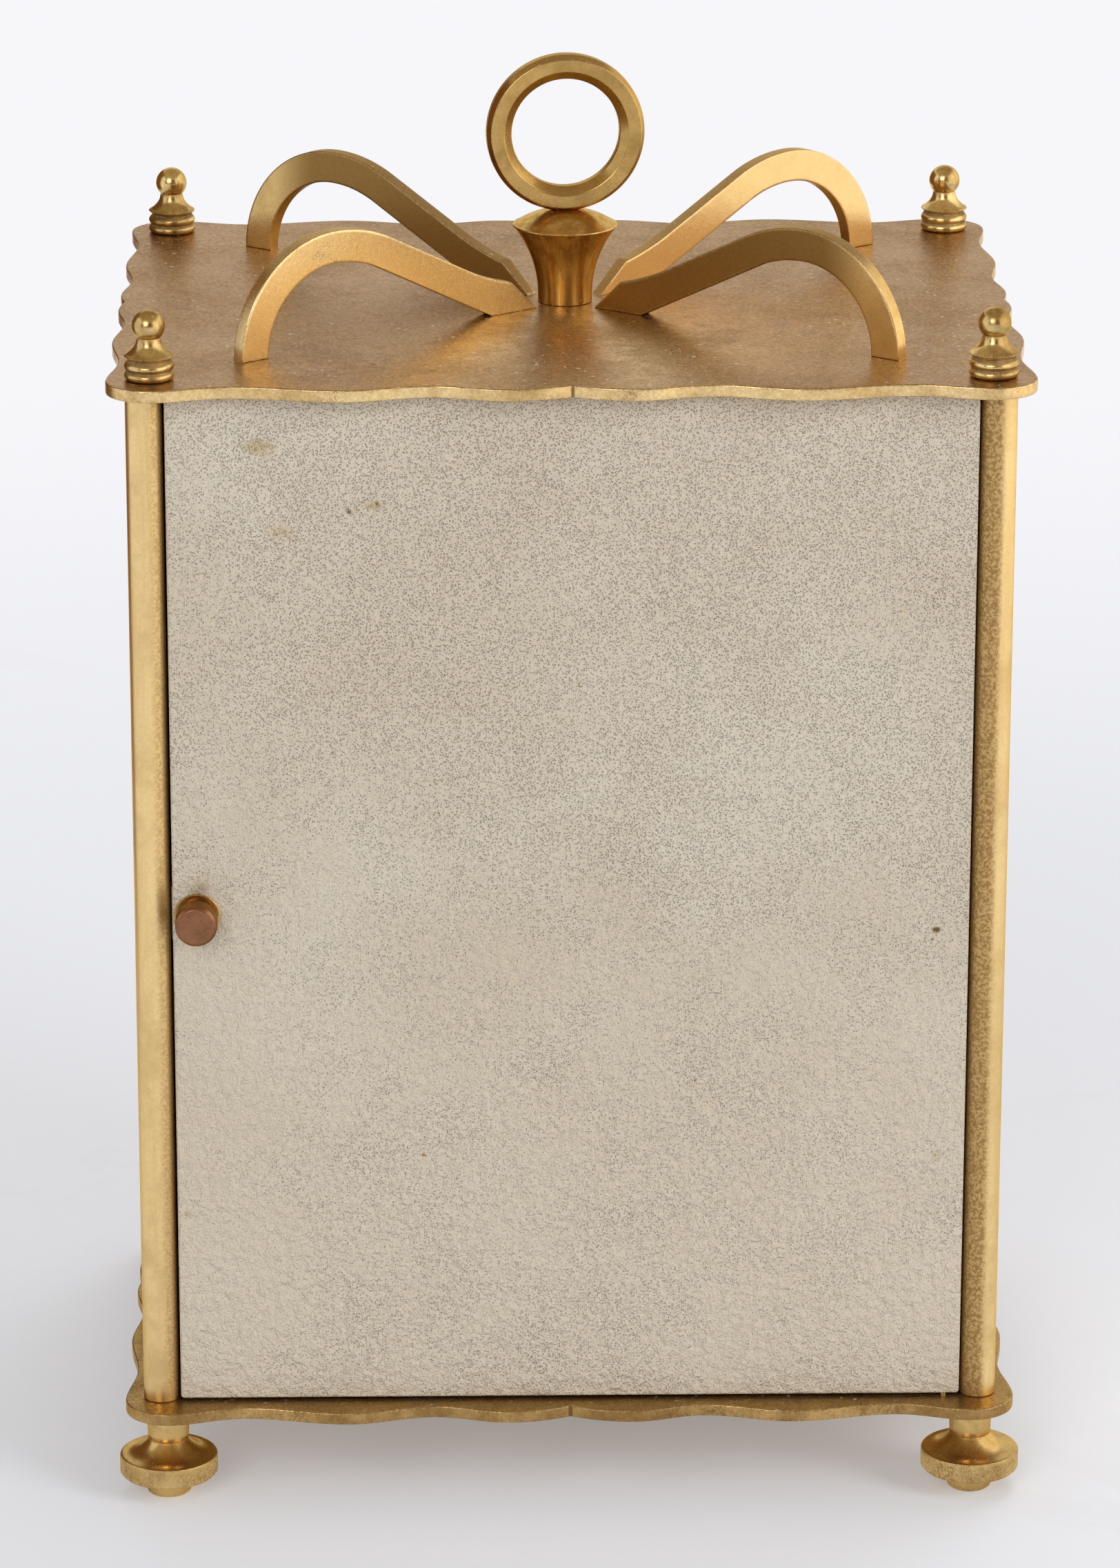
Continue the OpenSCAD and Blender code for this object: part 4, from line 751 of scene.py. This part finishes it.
def finialProfile(f):
    s, g, r = f["skirtR"], f["grooveR"], f["ringR"]
    points = [(0, 0), (g, 0)]
    for z in (r, 3 * r):  # two beads
        points += arc(s - r, z, r, -62, 58, 10)
    skirt, neck, ball = f["skirtZ"], f["neckR"], f["ballR"]
    points += [(g, skirt - 0.6), (s - 0.05, skirt - 0.12), (s, skirt), (s - 0.08, skirt + 0.1)]
    points += [(neck + (s - neck) * (1 - i / 12) ** 2, skirt + (f["neckZ"] - skirt) * i / 12) for i in range(1, 12)]
    centre = f["neckZ"] - f["ballSunk"] + ball
    start = -math.degrees(math.acos(min(1, neck * 0.93 / ball)))
    return points + arc(0, centre, ball, start, 90, 24)[:-1] + [(0, centre + ball)]


def footProfile(f):
    r, top, edge, pad, neck, height = f["rimR"], f["padH"] + f["rimH"], f["rimEdge"], f["padH"], f["neckR"], f["height"]
    points = [(0, 0), (neck - 0.3, 0), (neck, 0.3), (neck, pad - 0.25), (neck + 0.25, pad), (r - edge, pad)]
    points += [(r, pad + edge + (f["rimH"] - 2 * edge) * i / 6) for i in range(7)]
    points += [(r - 0.12, top - 0.15), (r - edge, top)]
    reach = r - edge - f["topR"]
    points += [(r - edge - reach * i / 16, top + f["cove"] * (i / 16) ** 2.2) for i in range(1, 16)]
    top += f["cove"]
    return points + [(f["topR"], top), (f["topR"] + 0.1, top + 0.35), (neck, height - 0.2), (neck - 0.1, height),
                     (0, height)]


def columnProfile(c):
    r, low, high, edge = c["r"], c["low"], c["high"], c["edge"]
    points = [(0, low), (r - edge, low)]
    points += [(r, low + edge + (high - low - 2 * edge) * i / 12) for i in range(13)]
    return points + [(r - edge, high), (0, high)]


grooves = (feet["grooves"], feet["grooveDepth"], feet["padH"] + 0.35, feet["padH"] + feet["rimH"] - 0.3)
for name, (sx, sy) in corners.items():
    axis = Matrix.Translation((sx * columns["x"], sy * columns["y"], 0))
    stud = Matrix.Translation((sx * plates["studX"], sy * plates["studY"], 0))
    finialPlace = stud @ Matrix.Translation((0, 0, finials["base"]))
    piece = turned(camel("column", name), columnProfile(columns), brass["columnBrass"], axis)
    seat(piece, "case", "column_" + name)
    piece = turned(camel("finial", name), finialProfile(finials), brass["turnedBrass"], finialPlace, 96)
    seat(piece, "case", "finial_" + name)
    piece = turned(camel("foot", name), footProfile(feet), brass["footBrass"], stud, 4 * feet["grooves"],
                   ripple=grooves)
    seat(piece, "case", "foot_" + name)
print("columns, finials and feet made")


# straps

straps = {
    "width": 5.35, "thick": 2.4, "edge": 0.16, "base": 192.9,
    "height": 19.1, "crest": 48.6, "shoulder": 25.2,  # the top of the curve, and its radius towards the crown
    "slope": 26.6, "ease": 22, "bend": 17.3, "kink": (12.2, 5.1), "tip": 6.9,  # and down to the crown's foot
    # each strap takes one of the lit, half-lit and shaded copies of the strap brass: painted light and shade
    "finish": {"front_left": "halfLitStrapBrass", "front_right": "shadedStrapBrass",
               "back_left": "shadedStrapBrass", "back_right": "litStrapBrass"},
}


def strapOutline(s):
    hub = (s["crest"], s["height"] - s["shoulder"])
    tilt = 90 + s["slope"]
    slope = math.tan(math.radians(s["slope"]))
    under = s["shoulder"] - s["width"]
    underEnd = arc(*hub, under, tilt, tilt, 1)[0]
    upper = arc(*hub, s["shoulder"], 90, tilt, 12)
    x, z = upper[-1]
    start, bend, kink = (s["ease"], z - (x - s["ease"]) * slope), (s["bend"], z - (x - s["bend"]) * slope), s["kink"]
    tail = []
    for i in range(12):
        t = i / 12
        tail.append(tuple((1 - t) ** 2 * start[k] + 2 * t * (1 - t) * bend[k] + t * t * kink[k] for k in range(2)))
    return ([(s["tip"], 0), (underEnd[0] - underEnd[1] / slope, 0)] + arc(*hub, under, 90, tilt, 12)[::-1]
            + arc(s["crest"], 0, s["height"] - s["width"], 0, 90, 40)[:-1][::-1]
            + arc(s["crest"], 0, s["height"], 0, 90, 48) + upper[1:] + tail + [kink])


strap = strapOutline(straps)
half = straps["thick"] / 2
for name, (sx, sy) in corners.items():
    turn = Matrix.Rotation(math.atan2(sy * plates["studY"], sx * plates["studX"]), 4, "Z")
    place = Matrix.Translation((0, 0, straps["base"])) @ turn @ Matrix.Rotation(math.pi / 2, 4, "X")
    finish = brass[straps["finish"][name]]
    seat(softSlab(camel("strap", name), strap, -half, half, straps["edge"], finish, place), "case",
         "strap_" + name)
print("straps made")


# crown: pedestal and ring

crown = {
    "base": 192.9, "height": 13.05, "footR": 4.5, "rimR": 8.75, "dome": 2.75, "collar": 1,
    "ringR": 13.2, "holeR": 9.05, "ringThick": 4.4, "faceIn": 1.35, "faceOut": 0.65, "land": 0.9, "corner": 0.16,
    "sunk": 0.25, "turn": 6,
}


def pedestalProfile(c):
    foot, rim, height, dome, collar = c["footR"], c["rimR"], c["height"], c["dome"], c["collar"]
    rise, swell = height - collar, rim - foot
    big = (rise ** 2 + swell ** 2) / (2 * swell)  # the radius of the flare
    points = [(0, 0), (foot - 0.15, 0), (foot, 0.15), (foot, collar)]
    points += [(foot + big - math.sqrt(big ** 2 - (rise * i / 32) ** 2), collar + rise * i / 32) for i in range(1, 32)]
    points += [(rim - 0.12, height - 0.22), (rim, height), (rim - 0.1, height + 0.16)]
    domeR = (rim ** 2 + dome ** 2) / (2 * dome)
    half = math.asin(rim / domeR)
    for i in range(1, 24):
        a = half * (1 - i / 24)
        points.append((domeR * math.sin(a), height + dome - domeR + domeR * math.cos(a)))
    return points + [(0, height + dome)]


def ringSection(c):
    r0, r1, half, land = c["holeR"], c["ringR"], c["ringThick"] / 2, c["land"]
    points = [(r0, -land), (r0 + c["faceIn"], -half), (r1 - c["faceOut"], -half), (r1, -land)]
    points += [(r, -z) for r, z in points[::-1]]
    return rounded([points[-1]] + points + [points[0]], c["corner"], 2)[1:-1]


upright = Matrix.Rotation(math.pi / 2, 4, "X")
crownPlace = Matrix.Translation((0, 0, crown["base"]))
seat(turned("crownPedestal", pedestalProfile(crown), brass["crownBrass"], crownPlace), "case",
     "crown_pedestal")
ringZ = crown["base"] + crown["height"] + crown["dome"] + crown["ringR"] - crown["sunk"]
ringPlace = Matrix.Translation((0, 0, ringZ)) @ Matrix.Rotation(math.radians(crown["turn"]), 4, "Z") @ upright
seat(turned("handleRing", ringSection(crown), brass["ringBrass"], ringPlace, 160, closed=True, sharp=60), "case",
     "handle_ring")
print("crown made")


# door, knob and panels

door = {"x0": -65.3, "x1": 65.2, "z0": 17.5, "z1": 190.4, "y": 54.2, "thick": 1.6, "edge": 0.3, "cornerR": 0.6}
panels = {"halfW": 65.2, "halfD": 48.65, "low": 16.45, "high": 191.45, "sideX": 70.75, "thick": 1.6, "edge": 0.25,
          "cornerR": 0.5, "rim": 0.12}
knob = {"x": 61.2, "z": 103, "r": 3.45, "neckR": 2.9, "boreR": 1, "out": 5.8, "rim": 0.5, "corner": 0.14}
washer = {"r": 3.85, "boreR": 1.1, "thick": 0.5, "edge": 0.12}


def boxOutline(x0, y0, x1, y1, r):
    return (arc(x1 - r, y0 + r, r, -90, 0, 4) + arc(x1 - r, y1 - r, r, 0, 90, 4)
            + arc(x0 + r, y1 - r, r, 90, 180, 4) + arc(x0 + r, y0 + r, r, 180, 270, 4))


def standing(y):
    # x stays, the outline's y goes up, and its z runs back to front from the plane at y
    return Matrix(((1, 0, 0, 0), (0, 0, -1, y), (0, 1, 0, 0), (0, 0, 0, 1)))


def sideways(s, x):
    # the same for a panel on side s, whose outline's x runs along the depth
    return Matrix(((0, 0, -s, s * x), (1, 0, 0, 0), (0, 1, 0, 0), (0, 0, 0, 1)))


def makePanel(name, node, halfWidth, place, p):
    shape = boxOutline(-halfWidth, p["low"], halfWidth, p["high"], p["cornerR"])
    seat(softSlab(name, shape, 0, p["thick"], p["edge"], panelPaint, place, rim=p["rim"]), "case", node)


d = door
shape = boxOutline(d["x0"], d["z0"], d["x1"], d["z1"], d["cornerR"])
piece = softSlab("backDoor", shape, 0, d["thick"], d["edge"], doorPaint, standing(d["y"]), rim=panels["rim"])
seat(piece, "door", "back_door")
makePanel("frontPanel", "front_panel", panels["halfW"], standing(panels["thick"] - d["y"]), panels)
makePanel("leftPanel", "left_panel", panels["halfD"], sideways(-1, panels["sideX"]), panels)
makePanel("rightPanel", "right_panel", panels["halfD"], sideways(1, panels["sideX"]), panels)


def onDoor(out):
    # the knob's axis, from this far out of the door's face
    return Matrix.Translation((knob["x"], door["y"] + out, knob["z"])) @ Matrix.Rotation(-math.pi / 2, 4, "X")


k, w = knob, washer
length = k["out"] - w["thick"]
profile = [(0, -3), (k["boreR"], -3), (k["boreR"], 0), (k["neckR"], 0), (k["neckR"], 1), (k["r"], 1.8),
           (k["r"], length - k["rim"]), (k["r"] - k["rim"], length), (0, length)]
piece = turned("doorKnob", rounded(profile, k["corner"]), brass["knobBronze"], onDoor(w["thick"]), 96)
seat(piece, "door", "door_knob")
r, edge = w["r"], w["edge"]
profile = [(w["boreR"], 0), (r - edge, 0), (r, edge), (r, w["thick"] - edge), (r - edge, w["thick"]),
           (w["boreR"], w["thick"])]
piece = turned("knobWasher", profile, brass["ringBrass"], onDoor(0), 96, closed=True)
seat(piece, "door", "knob_washer")
print("door, knob and panels made")


# CAD nodes that keep their shape

kept = {
    "steel": ["crown_screw", "case_screws", "door_pivots", "pillar_nuts", "winding_arbor", "ratchet_wheel", "click",
              "pallet_lever", "regulator", "centre_arbor", "cannon_pinion"],
    "bluedSteel": ["mainspring", "click_spring", "hairspring"],
    "springSteel": ["door_catch"],
    "movementBrass": ["knob_nut", "hour_markers", "hour_hand", "minute_hand", "hand_nut", "front_movement_plate",
                      "back_movement_plate", "movement_pillars", "barrel", "winding_key", "centre_wheel",
                      "third_wheel", "fourth_wheel", "escape_wheel",
                      "balance_wheel", "balance_cock", "set_knob", "minute_wheel", "hour_wheel"],
}
for finish, names in kept.items():
    for name in names:
        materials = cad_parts[name].data.materials
        materials.clear()
        materials.append(steel.get(finish) or brass[finish])
print("movement finished")


# floor, world and lamps

studio = {
    "floor": (0.93, 0.94, 0.985), "vein": (0.62, 0.57, 0.55), "floorR": 4,
    "far": (0.93, 0.93, 0.96), "light": (1, 1, 1), "world": 0.42,
    "aim": (0, 0, 0.1),
}
lamps = {
    "leftBox": {"place": (0.62, 1.72, 1.02), "size": 0.85, "power": 9.5, "inGloss": True},
    "rightBox": {"place": (-1.5, 1.02, 0.98), "size": 0.85, "power": 13.5, "inGloss": True},
    "topBox": {"place": (-0.3, -0.8, 1.8), "size": 1.1, "power": 9, "inGloss": False},
}
flags = {  # the dark and bright sides of the studio, which only the metal sees
    "leftFlag": {"place": (0.32, -0.50, 0.24), "size": (0.94, 0.48), "facing": (-1, 0, 0), "tone": (0.19, 0.09, 0.03)},
    "rightCard": {"place": (-0.62, 0.15, 0.40), "size": (1.6, 0.8), "facing": (1, 0, 0), "tone": (1.35, 1.26, 1.13)},
    "roomFlag": {"place": (0.0, 2.6, 1.25), "size": (6.0, 2.0), "facing": (0, -1, 0), "tone": (0.16, 0.075, 0.025)},
    "ceilingFlag": {"place": (0.0, 0.0, 2.4), "size": (5.0, 5.0), "facing": (0, 0, -1), "tone": (0.46, 0.36, 0.23)},
}


def mixShader(tree, share, a, b, surface):
    n = add(tree, "ShaderNodeMixShader")
    for value, socket in zip((share, a, b), n.inputs):
        put(tree, value, socket)
    put(tree, n.outputs[0], surface)


def floorFinish(s):
    # a faintly veined pale floor, which fades into the background away from the clock
    m, t, surface = newMaterial("paleFloor")
    bsdf = add(t, "ShaderNodeBsdfPrincipled")
    place = objectPlace(t)
    at = split(t, place)
    vein = mathNode(t, "ABSOLUTE", minus(t, noise(t, place, 9, 6, 0.6, 1.5), 0.5))
    vein = times(t, ramp(t, vein, 0, 0.05, 1, 0), ramp(t, noise(t, place, 6), 0.5, 0.7))
    put(t, mixColour(t, times(t, vein, 0.16), s["floor"], s["vein"]), bsdf.inputs["Base Color"])
    bsdf.inputs["Roughness"].default_value = 0.8
    bsdf.inputs["Specular IOR Level"].default_value = 0  # or the studio's cards would show in it
    reach = mathNode(t, "SQRT", plus(t, times(t, at["X"], at["X"]), times(t, at["Y"], at["Y"])))
    glow = add(t, "ShaderNodeEmission")
    put(t, s["far"], glow.inputs["Color"])
    fade = times(t, seenDirectly(t), ramp(t, reach, 0.14, 0.75, 0.25, 1))
    mixShader(t, fade, bsdf.outputs[0], glow.outputs[0], surface)
    return m


def makeFloor(s):
    bm = bmesh.new()
    bmesh.ops.create_circle(bm, cap_ends=True, segments=96, radius=s["floorR"])
    finishMesh("floor", bm, floorFinish(s))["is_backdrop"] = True


def makeWorld(s):
    world = bpy.data.worlds.new("studio")
    bpy.context.scene.world = world
    world.use_nodes = True
    t = world.node_tree
    t.nodes.clear()
    plain, far = add(t, "ShaderNodeBackground"), add(t, "ShaderNodeBackground")
    put(t, s["light"], plain.inputs["Color"])
    put(t, s["world"], plain.inputs["Strength"])
    put(t, s["far"], far.inputs["Color"])
    mixShader(t, seenDirectly(t), plain.outputs[0], far.outputs[0], add(t, "ShaderNodeOutputWorld").inputs["Surface"])


def makeLamps(boxes, aim):
    for name, c in boxes.items():
        data = bpy.data.lights.new(name, "AREA")
        data.shape, data.size, data.energy = "SQUARE", c["size"], c["power"]
        lamp = bpy.data.objects.new(name, data)
        bpy.context.scene.collection.objects.link(lamp)
        lamp.location = c["place"]
        lamp.visible_glossy = c["inGloss"]
        lamp.rotation_euler = (Vector(aim) - Vector(c["place"])).to_track_quat("-Z", "Y").to_euler()


def makeFlags(cards):
    for name, c in cards.items():
        m, t, surface = newMaterial(name)
        glow = add(t, "ShaderNodeEmission")
        put(t, c["tone"], glow.inputs["Color"])
        put(t, glow.outputs[0], surface)
        normal = Vector(c["facing"])
        across = Vector((0, 1, 0)) if normal.x or normal.z else Vector((1, 0, 0))
        across, up = across * c["size"][0] / 2, normal.cross(across) * c["size"][1] / 2
        bm = bmesh.new()
        around = ((-1, -1), (1, -1), (1, 1), (-1, 1))
        bm.faces.new([bm.verts.new(Vector(c["place"]) + across * a + up * b) for a, b in around])
        card = finishMesh(name, bm, m)
        card.visible_camera = card.visible_diffuse = card.visible_shadow = card.visible_transmission = False
        card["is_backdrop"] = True


makeFloor(studio)
makeWorld(studio)
makeLamps(lamps, studio["aim"])
makeFlags(flags)
print("studio made")

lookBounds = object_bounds()
asLists = lambda box: [[float(v) for v in corner] for corner in box]
{"cad": asLists(cadBounds), "look": asLists(lookBounds)}
